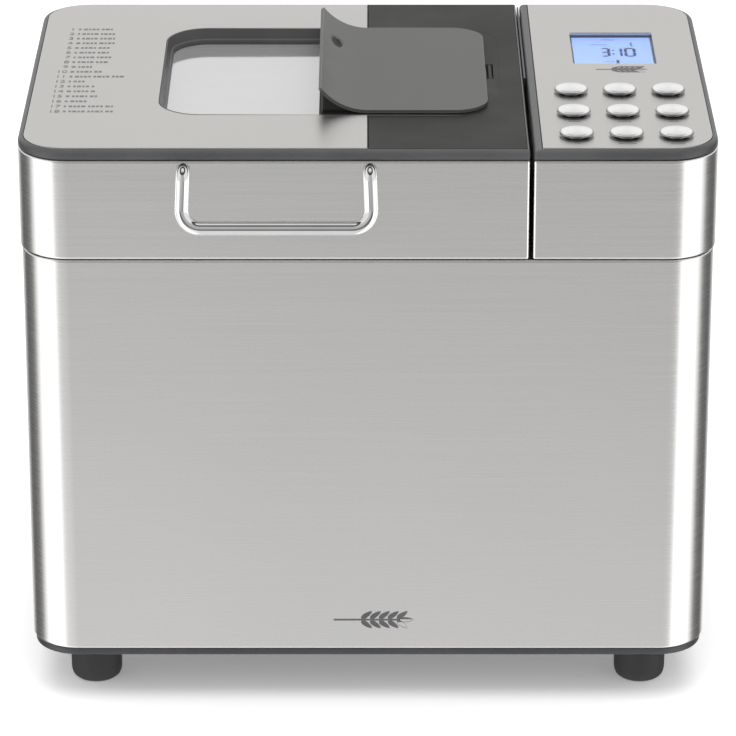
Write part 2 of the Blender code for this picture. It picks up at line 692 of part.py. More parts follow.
def lid_shell():
    """The lid's steel band, its moulding with the window's sloping sides, and the inlaid plate."""
    band = wall("lid_band", LID, LID.inset(SHEET), BAND_Z, BAND_TOP_Z, STEEL)
    bezel = loft("lid_bezel", rim_sections(LID), TRIM)
    cut(bezel, wall("lid_hollow", LID.inset(0.004), WINDOW.inset(-0.0025), 0.290, 0.308))
    cut(bezel, loft("window_sides", ((LEDGE, 0.290), (LEDGE, PANE_Z[1] + GAP), (WINDOW, TOP_Z), (WINDOW, 0.330))))
    cut(bezel, loft("pane_seat", ((pane_outline().inset(-GAP), 0.290), (pane_outline().inset(-GAP), PANE_Z[1] + GAP))))
    r = CORNER - PLATE_INSET
    inlay = Outline(LID.x0 + PLATE_INSET, 0.0, LID.y0 + PLATE_INSET, LID.y1 - PLATE_INSET, (r, 0.001, 0.001, r))
    cut(bezel, loft("plate_seat", ((inlay, PLATE_SEAT_Z), (inlay, 0.320))))
    plate = loft("lid_plate", ((inlay.inset(GAP), PLATE_SEAT_Z + GAP), (inlay.inset(GAP), PLATE_TOP_Z)), STEEL)
    edge = WINDOW.inset(-0.0006)
    cut(plate, loft("plate_window", ((edge, 0.300), (edge, 0.320))))
    return [band, bezel, plate]


def pane_outline():
    x0, _, y0, y1 = OPENING
    return Outline(x0 + 0.0005, -0.0228, y0 + 0.0005, y1 - 0.0005, (0.0215, EDGE, EDGE, 0.0215))


def lid_inside():
    """The window pane, the drawn inner liner with its openings, and the seal round the oven's mouth."""
    glass = loft("window_glass", ((pane_outline(), PANE_Z[0]), (pane_outline(), PANE_Z[1])), GLASS)
    flange = LID.inset(0.0018)
    shell = RECESS.inset(-SHEET)
    ceiling = 0.2885
    sections = ((flange, 0.2533), (flange, 0.2545), (shell, 0.2545), (shell, ceiling + SHEET))
    liner = loft("lid_liner", sections, ALUMINIUM)
    cut(liner, loft("liner_recess", ((RECESS, 0.240), (RECESS, ceiling))))
    view = even(-0.104, -0.0275, -0.061, 0.076, 0.015)
    cut(liner, loft("liner_window", ((view, 0.280), (view, 0.295))))
    drop = even(DOOR_X[0] - 0.0025, DOOR_X[1] + 0.003, DOOR_Y[0] - 0.003, DOOR_Y[1] + 0.003, 0.002)
    cut(liner, loft("liner_drop", ((drop, 0.280), (drop, 0.295))))
    seal = wall("lid_seal", RECESS.inset(-0.0065), RECESS.inset(-0.0025), 0.2517, 0.2530, SILICONE)
    return [glass, liner, seal]


def lid_handle():
    """The chrome loop on the lid's front."""
    face = FRONT_Y - GAP
    out = FRONT_Y - HANDLE_REACH + HANDLE_R
    half_top, half_bar = 0.0476, 0.0487
    high, low = 0.3010, 0.2735
    left = [
        (HANDLE_X - half_top, face, high),
        (HANDLE_X - half_top, FRONT_Y - 0.0062, high),
        (HANDLE_X - half_bar, out, low),
    ]
    right = [(2 * HANDLE_X - x, y, z) for x, y, z in reversed(left)]
    return bent_rod("lid_handle", left + right, HANDLE_R, (0.0050, 0.0095, 0.0095, 0.0050), CHROME)


def cover_curve(offset, steps=8):
    """The dispenser's top line in X and Z, from its raised left lip to its flat right part."""
    left = COVER_X[0]
    radius = (left**2 + COVER_LIFT**2) / (2 * COVER_LIFT)
    sweep = math.asin(-left / radius)
    made = []
    for i in range(steps + 1):
        a = sweep * (1 - i / steps)
        r = radius - offset
        made.append((-r * math.sin(a), COVER_Z + radius - r * math.cos(a)))
    return made


def dispenser_tray():
    """The box for nuts and seeds: its lip rises under the cover, and its floor has the drop opening."""
    made = loft("dispenser_tray", ((TRAY_LOW, 0.2950), (TRAY_LOW, PANE_Z[1] + GAP), (TRAY, TOP_Z), (TRAY, 0.330)), BLACK)
    under = cover_curve(-GAP)
    start, (_, flat_z) = under[0], under[-1]
    left = (TRAY_X - 0.01, start[1] + 0.006)
    profile = [left, *under, (0.090, flat_z), (0.090, 0.350), (TRAY_X - 0.01, 0.350)]
    cut(made, slab_along_y("above_cover", profile, -0.1, 0.12))
    cut(made, wall("tray_step", TRAY.inset(-0.010), TRAY_LIP, TOP_Z, 0.340))
    cut(made, wall("tray_waist", TRAY.inset(-0.010), TRAY_WAIST, 0.280, 0.3042))
    inside = Outline(TRAY_X + 0.0052, 0.0585, -0.0586, 0.0737, (0.002, 0.010, 0.010, 0.002))
    cut(made, loft("tray_inside", ((inside, 0.2965), (inside, 0.340))))
    drop = even(DOOR_X[0] + 0.005, DOOR_X[1] - 0.003, DOOR_Y[0] + 0.003, DOOR_Y[1] - 0.003, 0.003)
    cut(made, loft("tray_drop", ((drop, 0.290), (drop, 0.300))))
    middle = sum(COVER_Y) / 2
    reach = COVER_HALF + 0.0005
    cut(made, box("hinge_pocket", (0.0597, 0.0671), (middle - reach, middle + reach), (0.3074, 0.330)))
    x, z = COVER_HINGE
    reach = COVER_HALF + 0.0030
    cut(made, rod("cover_pivots", 0.0013, (x, middle - reach, z), (x, middle + reach, z), steps=12))
    for name, y0, y1 in (("front_lug", DOOR_Y[0] - 0.005, DOOR_Y[0] - GAP), ("rear_lug", DOOR_Y[1] + GAP, DOOR_Y[1] + 0.005)):
        unite(made, box(name, (DOOR_X[0] - 0.003, DOOR_X[0] + 0.003), (y0, y1), (0.2901, 0.2955)))
    bore = rod("door_bore", 0.0014, (DOOR_X[0], -0.050, DOOR_AXIS_Z), (DOOR_X[0], 0.065, DOOR_AXIS_Z), steps=12)
    return cut(made, bore)


def dispenser_cover():
    """The curved cover sheet, with its hinge barrel under the right end."""
    under = cover_curve(0.0)
    over = cover_curve(COVER_THICK)
    right = COVER_X[1]
    profile = [*under, (right, COVER_Z), (right, COVER_Z + COVER_THICK), *reversed(over)]
    made = slab_along_y("dispenser_cover", profile, *COVER_Y, COVER)
    y0, y1 = COVER_Y
    frame = Outline(-0.100, right + 0.020, y0 - 0.02, y1 + 0.02, (0.002, 0.002, 0.002, 0.002))
    keep = Outline(-0.090, right, y0, y1, (0.002, 0.018, 0.018, 0.002))
    cut(made, wall("cover_corners", frame, keep, 0.300, 0.340))
    x, z = COVER_HINGE
    middle = (y0 + y1) / 2
    half = COVER_HALF
    unite(made, rod("cover_barrel", 0.0015, (x, middle - half, z), (x, middle + half, z), steps=12))
    unite(made, box("cover_arm", (0.0604, 0.0622), (middle - half, middle + half), (0.3084, 0.3120)))
    unite(made, box("cover_arm_foot", (0.0604, 0.0650), (middle - half, middle + half), (0.3083, 0.3098)))
    unite(made, rod("cover_stubs", 0.0009, (x, middle - half - 0.002, z), (x, middle + half + 0.002, z), steps=12))
    on_axis("cover_axis", (x, middle, z), made)


def dispenser_door():
    """The drop door under the tray, with its shaft running back to the actuator."""
    x0, x1 = DOOR_X
    made = box("dispenser_door", (x0, x1), DOOR_Y, DOOR_Z, BLACK)
    unite(made, rod("door_barrel", 0.0018, (x0, DOOR_Y[0], DOOR_AXIS_Z), (x0, DOOR_Y[1], DOOR_AXIS_Z), steps=12))
    unite(made, rod("door_shaft", 0.0010, (x0, DOOR_Y[0] - 0.004, DOOR_AXIS_Z), (x0, 0.082, DOOR_AXIS_Z), steps=12))
    on_axis("door_axis", (x0, sum(DOOR_Y) / 2, DOOR_AXIS_Z), made)


def dispenser_actuator():
    """The small geared actuator behind the tray that turns the drop door's shaft."""
    x = DOOR_X[0]
    made = box("dispenser_actuator", (x - 0.010, x + 0.014), (0.0772, 0.0872), (0.2901, 0.2966), CAST)
    return cut(made, rod("actuator_bore", 0.0014, (x, 0.070, DOOR_AXIS_Z), (x, 0.084, DOOR_AXIS_Z), steps=12))


def hinge(side, x):
    """One rear hinge: the body's bracket with two knuckles, the lid's leaf with one, and the pin."""
    leaf_y = (REAR_Y + GAP, REAR_Y + 0.0028)
    bracket = box(f"hinge_bracket_{side}", (x - 0.018, x + 0.018), leaf_y, (0.215, 0.2500), TRIM)
    leaf = box(f"lid_hinge_{side}", (x - 0.0070, x + 0.0070), leaf_y, (0.2500, 0.2850), TRIM)
    knuckles = ((bracket, -0.018, -0.0075), (bracket, 0.0075, 0.018), (leaf, -0.0070, 0.0070))
    for owner, start, end in knuckles:
        ends = ((x + start, HINGE_Y, HINGE_Z), (x + end, HINGE_Y, HINGE_Z))
        unite(owner, rod(f"knuckle_{owner.name}_{start}", HINGE_R, *ends))
    clearance = box(f"leaf_clearance_{side}", (x - 0.0080, x + 0.0080), (REAR_Y - 0.01, REAR_Y + 0.02), (0.2440, 0.2600))
    cut(bracket, clearance)
    for owner in (bracket, leaf):
        bore = rod(f"bore_{owner.name}", HINGE_PIN_R + GAP, (x - 0.03, HINGE_Y, HINGE_Z), (x + 0.03, HINGE_Y, HINGE_Z))
        cut(owner, bore)
    rod(f"hinge_pin_{side}", HINGE_PIN_R, (x - 0.0190, HINGE_Y, HINGE_Z), (x + 0.0190, HINGE_Y, HINGE_Z), SHAFT_STEEL)
    return leaf


def main():
    for obj in list(bpy.data.objects):
        bpy.data.objects.remove(obj)
    outer_wrap()
    rear_panel()
    base_tray()
    feet()
    top_deck()
    cord_gland()
    oven_chamber()
    heating_element()
    temperature_sensor()
    pan_socket()
    bearing_housing()
    drive()
    drive_belt()
    motor()
    electrics()
    bread_pan()
    bail_handle()
    paddle()
    control_housing()
    control_inside()
    buttons()
    leaves = [hinge(side, x) for side, x in zip(("left", "right"), HINGE_X)]
    lid = [*lid_shell(), *lid_inside(), lid_handle(), dispenser_tray(), dispenser_actuator(), *leaves]
    on_axis("lid_axis", (OVEN_X, HINGE_Y, HINGE_Z), *lid)
    dispenser_cover()
    dispenser_door()


main()
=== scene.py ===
"""Looks of the bread machine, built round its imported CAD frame.

Frame: +X right, +Y back, +Z up, in metres, standing on z = 0 with the handle towards the front, -Y.
"""

import json
from math import cos, dist, hypot, pi, radians, sin, sqrt, tan

import bmesh
import bpy
from mathutils import Matrix, Vector

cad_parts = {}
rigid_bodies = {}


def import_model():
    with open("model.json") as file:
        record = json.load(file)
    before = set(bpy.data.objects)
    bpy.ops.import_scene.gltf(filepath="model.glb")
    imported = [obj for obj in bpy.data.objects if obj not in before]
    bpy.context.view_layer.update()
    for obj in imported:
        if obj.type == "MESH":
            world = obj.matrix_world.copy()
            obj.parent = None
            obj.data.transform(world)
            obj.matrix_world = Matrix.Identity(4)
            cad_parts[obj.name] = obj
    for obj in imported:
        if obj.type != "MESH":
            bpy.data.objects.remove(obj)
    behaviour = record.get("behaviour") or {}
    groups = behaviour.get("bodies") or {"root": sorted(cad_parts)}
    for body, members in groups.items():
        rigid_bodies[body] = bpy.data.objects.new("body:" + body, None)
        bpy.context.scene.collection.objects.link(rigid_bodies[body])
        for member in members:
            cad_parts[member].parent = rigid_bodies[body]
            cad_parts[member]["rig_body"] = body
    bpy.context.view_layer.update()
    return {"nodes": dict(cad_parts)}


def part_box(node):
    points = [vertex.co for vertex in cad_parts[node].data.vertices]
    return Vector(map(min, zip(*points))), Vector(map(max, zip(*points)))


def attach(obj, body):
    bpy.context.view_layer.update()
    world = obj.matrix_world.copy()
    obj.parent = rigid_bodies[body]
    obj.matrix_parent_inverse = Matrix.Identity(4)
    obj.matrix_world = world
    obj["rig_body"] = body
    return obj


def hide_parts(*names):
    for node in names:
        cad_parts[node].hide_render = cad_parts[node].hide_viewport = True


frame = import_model()

MM = 0.001
STEPS = 14  # segments in each rounded corner
SHEET = 1.2 * MM
SEAM = 0.2 * MM  # how far each sheet's rolled edge reaches into the gap under the lid


def over(base, *pairs):
    """Profile points from (mm from an outline or an axis, mm over a height)."""
    return [(a * MM, base + b * MM) for a, b in pairs]


def shares(*pairs):
    """Profile points from (radius in mm, share of the length)."""
    return [(r * MM, t) for r, t in pairs]


def centre(node):
    low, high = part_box(node)
    return [(a + b) / 2 for a, b in zip(low, high)]


# --- Places, all from the CAD's own boxes ---


class Outline:
    """A rounded rectangle seen from above. Its radii run front left, front right, rear right, rear left."""

    def __init__(self, x0, x1, y0, y1, radii, runs=1):
        self.x0, self.x1, self.y0, self.y1, self.runs = x0, x1, y0, y1, runs
        self.radii = (radii,) * 4 if isinstance(radii, float) else tuple(radii)

    def inset(self, by):
        radii = tuple(max(r - by, 0.0004) for r in self.radii)
        return Outline(self.x0 + by, self.x1 - by, self.y0 + by, self.y1 - by, radii, self.runs)

    def corners(self, steps=STEPS):
        fl, fr, rr, rl = self.radii
        centres = (
            (self.x0 + fl, self.y0 + fl, fl, 180), (self.x1 - fr, self.y0 + fr, fr, 270),
            (self.x1 - rr, self.y1 - rr, rr, 0), (self.x0 + rl, self.y1 - rl, rl, 90),
        )
        made = []
        for x, y, r, start in centres:
            turns = [radians(start + 90 * i / steps) for i in range(steps + 1)]
            made.append([(x + r * cos(a), y + r * sin(a)) for a in turns])
        return made

    def points(self, steps=STEPS):
        """Its corners' points, with the straight front and rear divided into runs."""
        made = []
        corners = self.corners(steps)
        for i, corner in enumerate(corners):
            made += corner
            if i % 2 == 0:
                (ax, ay), (bx, _) = corner[-1], corners[i + 1][0]
                made += [(ax + (bx - ax) * k / self.runs, ay) for k in range(1, self.runs)]
        return made


def outline_of(node, radii, grow=0.0):
    low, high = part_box(node)
    return Outline(low.x - grow, high.x + grow, low.y - grow, high.y + grow, radii)


CORNER = 26 * MM
BODY = outline_of("outer_wrap", CORNER - 0.8 * MM)
LID = outline_of("lid_band", (CORNER, 1.5 * MM, 1.5 * MM, CORNER))
CONTROL = outline_of("control_band", (1.5 * MM, CORNER, CORNER, 1.5 * MM))
OVEN = outline_of("oven_chamber", 25 * MM, -5 * MM)
PAN = outline_of("bread_pan", 21 * MM, -3 * MM)
COVER_LOW, COVER_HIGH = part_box("dispenser_cover")
TRAY_LOW, TRAY_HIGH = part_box("dispenser_tray")
PLATE_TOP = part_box("lid_plate")[1].z
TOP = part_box("lid_bezel")[1].z
BAND_LOW, BAND_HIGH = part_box("lid_band")[0].z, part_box("lid_band")[1].z
WRAP_LOW, WRAP_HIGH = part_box("outer_wrap")[0].z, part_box("outer_wrap")[1].z
GLASS_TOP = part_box("window_glass")[1].z
PLATE_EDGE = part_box("lid_plate")[1].x
FRONT = LID.y0
WINDOW_RADIUS = 22 * MM
# The window's opening: half a millimetre outside the pane, and at its right end just outside the tray
WINDOW = Outline(
    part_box("window_glass")[0].x - 0.5 * MM,
    TRAY_HIGH.x + 0.3 * MM,
    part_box("window_glass")[0].y - 0.5 * MM,
    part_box("window_glass")[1].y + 0.5 * MM,
    WINDOW_RADIUS,
)
TAPER = 2.8 * MM  # how far the window's sides slope inwards
INLAY = 2.8 * MM  # from a moulding's edge to the groove round its plate


def sloped(t, by=0.0):
    """The window's opening at a share t of the way down its sloping sides; its right end is upright."""
    r = WINDOW_RADIUS - TAPER * t - by
    y0, y1 = WINDOW.y0 + TAPER * t + by, WINDOW.y1 - TAPER * t - by
    return Outline(WINDOW.x0 + TAPER * t + by, WINDOW.x1 - by, y0, y1, r)


def inlaid(outline, by, left=0.0, right=0.0):
    """A moulding's outline drawn in, with its left and right rims wider by these amounts at the groove."""
    made, share = outline.inset(by), min(by / INLAY, 1.0)
    made.x0 += left * share
    made.x1 -= right * share
    return made


# --- Materials ---


class Tree:
    """A node tree, written as short calls."""

    def __init__(self, tree):
        self.tree = tree

    def link(self, out, into):
        self.tree.links.new(out, into)

    def add(self, kind, settings=(), **inputs):
        """A node whose named inputs are each given a value or a link."""
        node = self.tree.nodes.new("ShaderNode" + kind)
        for key, value in settings:
            setattr(node, key, value)
        for key, value in inputs.items():
            self.feed(node.inputs[key.replace("_", " ")], value)
        return node

    def feed(self, socket, value):
        if isinstance(value, bpy.types.NodeSocket):
            self.link(value, socket)
        else:
            socket.default_value = value

    def math(self, operation, *values):
        node = self.add("Math", [("operation", operation)])
        for socket, value in zip(node.inputs, values):
            self.feed(socket, value)
        return node.outputs[0]

    def mix(self, factor, a, b, kind="MIX"):
        settings = [("data_type", "RGBA"), ("blend_type", kind)]
        return self.add("Mix", settings, Factor=factor, A=a, B=b).outputs["Result"]

    def ramp(self, value, *stops):
        node = self.add("ValToRGB", Fac=value)
        elements = node.color_ramp.elements
        while len(elements) < len(stops):
            elements.new(0.5)
        for element, (place, colour) in zip(elements, stops):
            element.position = place
            element.color = (*colour, 1.0)
        return node.outputs["Color"]


class Look(Tree):
    """A material's node tree."""

    def __init__(self, name, colour, rough, metallic=0.0, **sockets):
        self.made = bpy.data.materials.new(name)
        self.made.use_nodes = True
        super().__init__(self.made.node_tree)
        self.shader = self.tree.nodes["Principled BSDF"]
        sockets = {"base_color": (*colour, 1.0), "roughness": rough, "metallic": metallic, **sockets}
        for key, value in sockets.items():
            self.to(value, key.replace("_", " ").title().replace("Ior", "IOR"))

    def to(self, value, socket):
        self.feed(self.shader.inputs[socket], value)

    def place(self, scale=(1, 1, 1), uv=False, turn=(0, 0, 0)):
        """Coordinates in metres times a scale: the piece's own, or its unrolled surface's."""
        source = self.add("TexCoord").outputs["UV" if uv else "Object"]
        return self.add("Mapping", Scale=scale, Rotation=turn, Vector=source).outputs["Vector"]

    def noise(self, vector, detail, rough):
        return self.add("TexNoise", Scale=1.0, Detail=detail, Roughness=rough, Vector=vector).outputs["Fac"]

    def grain(self, scale, detail, rough):
        return self.noise(self.place((scale,) * 3), detail, rough)

    def cells(self, vector):
        return self.add("TexVoronoi", Scale=1.0, Vector=vector).outputs["Distance"]

    def spread(self, value, low, high, frm=0.3, to=0.7):
        return self.add("MapRange", From_Min=frm, From_Max=to, To_Min=low, To_Max=high,
                        Value=value).outputs["Result"]

    def colours(self, value, low, high, frm=0.3, to=0.7):
        return self.ramp(value, (frm, low), (to, high))

    def sum(self, first, second, weight=1.0):
        return self.math("MULTIPLY_ADD", second, weight, first)

    def highlight_edge_mask(self, size=0.0006):
        """How far a point is on an outer edge, from 0 to 1; the mask of the painted edge highlight."""
        bevel = self.add("Bevel", [("samples", 4)], Radius=size)
        dot = self.add("VectorMath", [("operation", "DOT_PRODUCT")])
        self.link(bevel.outputs["Normal"], dot.inputs[0])
        self.link(self.add("NewGeometry").outputs["Normal"], dot.inputs[1])
        return self.spread(dot.outputs["Value"], 1.0, 0.0, 0.90, 0.995)

    def bump(self, height, depth):
        """Depth is the height in metres of the relief from 0 to 1."""
        self.to(self.add("Bump", Strength=1.0, Distance=depth, Height=height).outputs["Normal"], "Normal")


def brushed(name, colour, rough, along=9.0, across=2200.0, relief=0.003, anisotropic=0.45, **sockets):
    """Sheet metal brushed along its unrolled length, so that it blurs reflections across it."""
    m = Look(name, colour, rough, 1.0, anisotropic=anisotropic, anisotropic_rotation=0.25, **sockets)
    fine = m.noise(m.place((along, across, 1), uv=True), 3.0, 0.7)
    broad = m.noise(m.place((along * 0.4, across * 0.18, 1), uv=True), 3.0, 0.6)
    cloud = m.grain(7, 2.0, 0.5)
    streaks = m.sum(fine, broad, 0.4)
    low = tuple(c * 0.95 for c in colour)
    high = tuple(min(c * 1.04, 1.0) for c in colour)
    base = m.colours(streaks, low, high, 0.45, 0.95)
    shade = m.colours(cloud, (0.975, 0.975, 0.98), (1.0, 1.0, 1.0))
    m.to(m.mix(1.0, base, shade, "MULTIPLY"), "Base Color")
    m.to(m.spread(streaks, rough - 0.04, rough + 0.05, 0.45, 0.95), "Roughness")
    m.bump(streaks, relief * MM)
    tangent = m.add("Tangent", [("direction_type", "UV_MAP"), ("uv_map", "UVMap")])
    m.to(tangent.outputs["Tangent"], "Tangent")
    return m.made


def moulded(name, colour, rough, grain=1500.0, relief=0.02, edge=1.5, **sockets):
    """Moulded plastic with a fine spark-eroded grain and faint sink marks, its outer edges lightened as a
    painted highlight.
    """
    m = Look(name, colour, rough, 0.0, **sockets)
    speck = m.grain(grain, 3.0, 0.6)
    cloud = m.grain(22, 3.0, 0.55)
    low = tuple(c * 0.86 for c in colour)
    high = tuple(min(c * 1.14, 1.0) for c in colour)
    base = m.colours(m.sum(cloud, speck, 0.35), low, high, 0.5, 0.85)
    # Painted highlight: the outer edges' colour is lightened by the factor edge.
    edge_highlight_colour = tuple(min(c * edge + 0.004, 1.0) for c in colour)
    m.to(m.mix(m.highlight_edge_mask(), base, (*edge_highlight_colour, 1.0)), "Base Color")
    m.to(m.spread(cloud, rough - 0.05, rough + 0.06), "Roughness")
    m.bump(speck, relief * MM)
    return m.made


def polished(name, colour, rough, relief=0.003, **sockets):
    """Plated or ground metal, with faint orange peel and handling marks."""
    m = Look(name, colour, rough, 1.0, **sockets)
    peel = m.grain(420, 3.0, 0.5)
    smear = m.grain(60, 4.0, 0.65)
    low = tuple(c * 0.95 for c in colour)
    m.to(m.colours(smear, low, colour), "Base Color")
    m.to(m.spread(smear, max(rough - 0.02, 0.02), rough + 0.05), "Roughness")
    m.bump(peel, relief * MM)
    return m.made


def speckled(name, colour, spots, rough, metallic=0.0, scale=2600.0, relief=0.015):
    """A sprayed coating with fine lighter specks."""
    m = Look(name, colour, rough, metallic)
    cells = m.cells(m.place((scale,) * 3))
    cloud = m.grain(35, 3.0, 0.6)
    dots = m.colours(cells, spots, colour, 0.10, 0.22)
    m.to(m.mix(1.0, dots, m.colours(cloud, (0.8,) * 3, (1.0,) * 3), "MULTIPLY"), "Base Color")
    m.to(m.spread(cloud, rough - 0.06, rough + 0.08), "Roughness")
    m.bump(cells, relief * MM)
    return m.made


def cast(name, colour, rough, metallic=1.0):
    """Die-cast metal with a sandy skin."""
    m = Look(name, colour, rough, metallic)
    grit = m.grain(900, 6.0, 0.7)
    cloud = m.grain(40, 3.0, 0.6)
    m.to(m.colours(m.sum(cloud, grit, 0.4), tuple(c * 0.8 for c in colour), colour, 0.5, 0.9), "Base Color")
    m.to(m.spread(grit, rough - 0.08, rough + 0.12), "Roughness")
    m.bump(grit, 0.04 * MM)
    return m.made


def rubbery(name, colour, rough=0.7):
    m = Look(name, colour, rough, 0.0)
    grit = m.grain(1400, 4.0, 0.7)
    dust = m.grain(55, 4.0, 0.6)
    m.to(m.colours(dust, colour, tuple(c * 1.5 + 0.006 for c in colour), 0.4, 0.75), "Base Color")
    m.to(m.spread(dust, rough - 0.08, rough + 0.1), "Roughness")
    m.bump(grit, 0.03 * MM)
    return m.made


def glazing(name, colour, rough, **sockets):
    """Clear or half-silvered pane with faint wiping marks."""
    m = Look(name, colour, rough, **sockets)
    wipe = m.noise(m.place((30, 90, 30), turn=(0, 0, 0.6)), 4.0, 0.6)
    m.to(m.colours(wipe, tuple(c * 0.97 for c in colour), colour), "Base Color")
    m.to(m.spread(wipe, rough, rough + 0.03), "Roughness")
    return m.made


def board_look(name):
    """Green solder mask with copper tracks under it."""
    m = Look(name, (0.03, 0.16, 0.07), 0.45, coat_weight=0.4)
    tracks = m.add("TexBrick", Vector=m.place((240,) * 3), Scale=1.0, Color1=(0.02, 0.12, 0.05, 1),
                   Color2=(0.025, 0.15, 0.06, 1), Mortar=(0.07, 0.26, 0.11, 1))
    m.to(tracks.outputs["Color"], "Base Color")
    m.bump(tracks.outputs["Fac"], -0.02 * MM)
    return m.made


def screen_look(name):
    """The lit display, a little brighter towards its middle."""
    m = Look(name, (0.05, 0.09, 0.20), 0.35, 0.0, emission_strength=0.66)
    cloud = m.grain(28, 2.0, 0.5)
    blue = m.colours(cloud, (0.28, 0.44, 1.0), (0.34, 0.52, 1.0), 0.35, 0.65)
    m.to(blue, "Emission Color")
    pixels = m.cells(m.place((2200,) * 3))
    m.to(m.colours(pixels, (0.09, 0.15, 0.28), (0.11, 0.17, 0.32)), "Base Color")
    return m.made


STEEL = brushed("brushed_steel", (0.840, 0.830, 0.812), 0.27, anisotropic=0.35)
PLATE = brushed("brushed_plate", (0.665, 0.652, 0.630), 0.33, relief=0.003)
CHROME = polished("chrome", (0.84, 0.84, 0.84), 0.05)
# A darker copy of the chrome: painted reflection of dark surroundings, used on the flared rings under the
# buttons' caps.
CHROME_PAINTED_DARK = polished("chrome_painted_dark", (0.34, 0.34, 0.34), 0.08)
SHAFT = polished("shaft_steel", (0.56, 0.56, 0.56), 0.24)
RIM = moulded("rim_plastic", (0.066, 0.066, 0.068), 0.36, relief=0.03, specular_ior_level=0.35)
PANEL = moulded("panel_plastic", (0.014, 0.0137, 0.0125), 0.42, grain=1900.0, specular_ior_level=0.14)
TRAY_BLACK = moulded("tray_plastic", (0.010, 0.010, 0.010), 0.16, relief=0.006)
# The cover's edge=2.2 paints a stronger highlight on its outer edges.
FLAP = moulded("cover_plastic", (0.070, 0.069, 0.067), 0.42, relief=0.012, edge=2.2, specular_ior_level=0.3)
FLOOR_TRIM = moulded("base_plastic", (0.040, 0.040, 0.046), 0.40)
REAR_PAINT = moulded("rear_paint", (0.028, 0.028, 0.030), 0.48, grain=1100.0, relief=0.04)
RUBBER = rubbery("rubber", (0.022, 0.022, 0.022))
BELT = rubbery("belt_rubber", (0.016, 0.016, 0.016), 0.62)
SEAL = rubbery("silicone", (0.42, 0.42, 0.40), 0.55)
LINER = brushed("drawn_aluminium", (0.72, 0.72, 0.72), 0.36, along=20.0, across=500.0, relief=0.004,
                anisotropic=0.2)
NONSTICK = speckled("nonstick", (0.035, 0.035, 0.038), (0.13, 0.13, 0.13), 0.36)
CAST = cast("cast_alloy", (0.52, 0.52, 0.52), 0.48)
HEATER = cast("heater_sheath", (0.20, 0.19, 0.175), 0.42)
BOARD = board_look("circuit_board")
CAP = brushed("spun_cap", (0.96, 0.96, 0.95), 0.30, along=14.0, across=2600.0, relief=0.002, anisotropic=0.6)
PRINT = moulded("print_grey", (0.085, 0.085, 0.09), 0.6, relief=0.004)
PRINT_LIGHT = moulded("print_light", (0.15, 0.15, 0.15), 0.75, relief=0.004, specular_ior_level=0.2)
INK = moulded("display_ink", (0.012, 0.020, 0.10), 0.50, relief=0.002)
SCREEN = screen_look("display_blue")
PANE = glazing("window_pane", (0.66, 0.665, 0.66), 0.06, metallic=0.72, alpha=0.92)
LENS = glazing("lens_clear", (1.0, 1.0, 1.0), 0.02, transmission_weight=1.0, ior=1.3, alpha=0.05)
# Near-black fill for bores and gaps: painted shade where the view into the body would fall dark.
GAP_SHADE_FILL = moulded("painted_gap_shade", (0.004, 0.004, 0.004), 0.8, relief=0.004)


# --- Shapes ---


def finish_mesh(name, bm, look, body, stands_for=(), sharp=38.0, slot=None):
    """An object from a bmesh, with smooth sides, riding on its body."""
    bmesh.ops.recalc_face_normals(bm, faces=bm.faces)
    mesh = bpy.data.meshes.new(name)
    bm.to_mesh(mesh)
    bm.free()
    mesh.shade_smooth()
    mesh.set_sharp_from_angle(angle=radians(sharp))
    mesh.materials.append(look)
    obj = bpy.data.objects.new(name, mesh)
    bpy.context.scene.collection.objects.link(obj)
    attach(obj, body)
    if stands_for:
        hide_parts(*stands_for)
    level = obj.modifiers.new("level", "WEIGHTED_NORMAL")
    level.keep_sharp = True
    return obj


def unroll(rings):
    """How far each point is along its ring, and each ring along the profile, in metres."""
    middle = rings[len(rings) // 2]
    along, total = [0.0], 0.0
    for a, b in zip(middle, middle[1:] + middle[:1]):
        total += dist(a[:2], b[:2])
        along.append(total)
    down, total = [0.0], 0.0
    for first, second in zip(rings, rings[1:]):
        total += sum(dist(a, b) for a, b in zip(first, second)) / len(first)
        down.append(total)
    return along, down


def skin(name, rings, look, body, round_path=True, closed=True, stands_for=(), sharp=38.0, slot=None):
    """A skin over rings of points. round_path joins a ring's ends, closed the last ring to the first."""
    bm = bmesh.new()
    uv = bm.loops.layers.uv.new("UVMap")
    verts = [[bm.verts.new(p) for p in ring] for ring in rings]
    along, down = unroll(rings)
    count, rows = len(rings[0]), len(rings)
    span = dist(rings[0][0], rings[-1][0])

    def quad(i, i2, j, j2, v2):
        face = bm.faces.new((verts[i][j], verts[i][j2], verts[i2][j2], verts[i2][j]))
        places = ((along[j], down[i]), (along[j + 1], down[i]), (along[j + 1], v2), (along[j], v2))
        for loop, place in zip(face.loops, places):
            loop[uv].uv = place

    def cap(ring):
        face = bm.faces.new(ring)
        for loop in face.loops:
            loop[uv].uv = (loop.vert.co.x, loop.vert.co.y)

    for i in range(rows if closed else rows - 1):
        i2 = (i + 1) % rows
        v2 = down[i2] if i2 else down[i] + span
        for j in range(count if round_path else count - 1):
            quad(i, i2, j, (j + 1) % count, v2)
    if not closed:
        cap(verts[0])
        cap(verts[-1])
    if closed and not round_path:
        cap([row[0] for row in verts])
        cap([row[-1] for row in verts])
    return finish_mesh(name, bm, look, body, stands_for, sharp, slot)


def second_look(piece, look, where):
    """Gives another look to the faces for which where(face) is true."""
    piece.data.materials.append(look)
    for polygon in piece.data.polygons:
        if where(polygon):
            polygon.material_index = 1


def soften(obj, width, segments, angle):
    """Rounds the edges that are sharper than the angle in degrees."""
    edge = obj.modifiers.new("edge", "BEVEL")
    edge.width = width
    edge.segments = segments
    edge.limit_method = "ANGLE"
    edge.angle_limit = radians(angle)
    return edge


def ring_of(outline, z):
    """The outline's points at a height, which may depend on x."""
    return [(x, y, z(x) if callable(z) else z) for x, y in outline.points()]


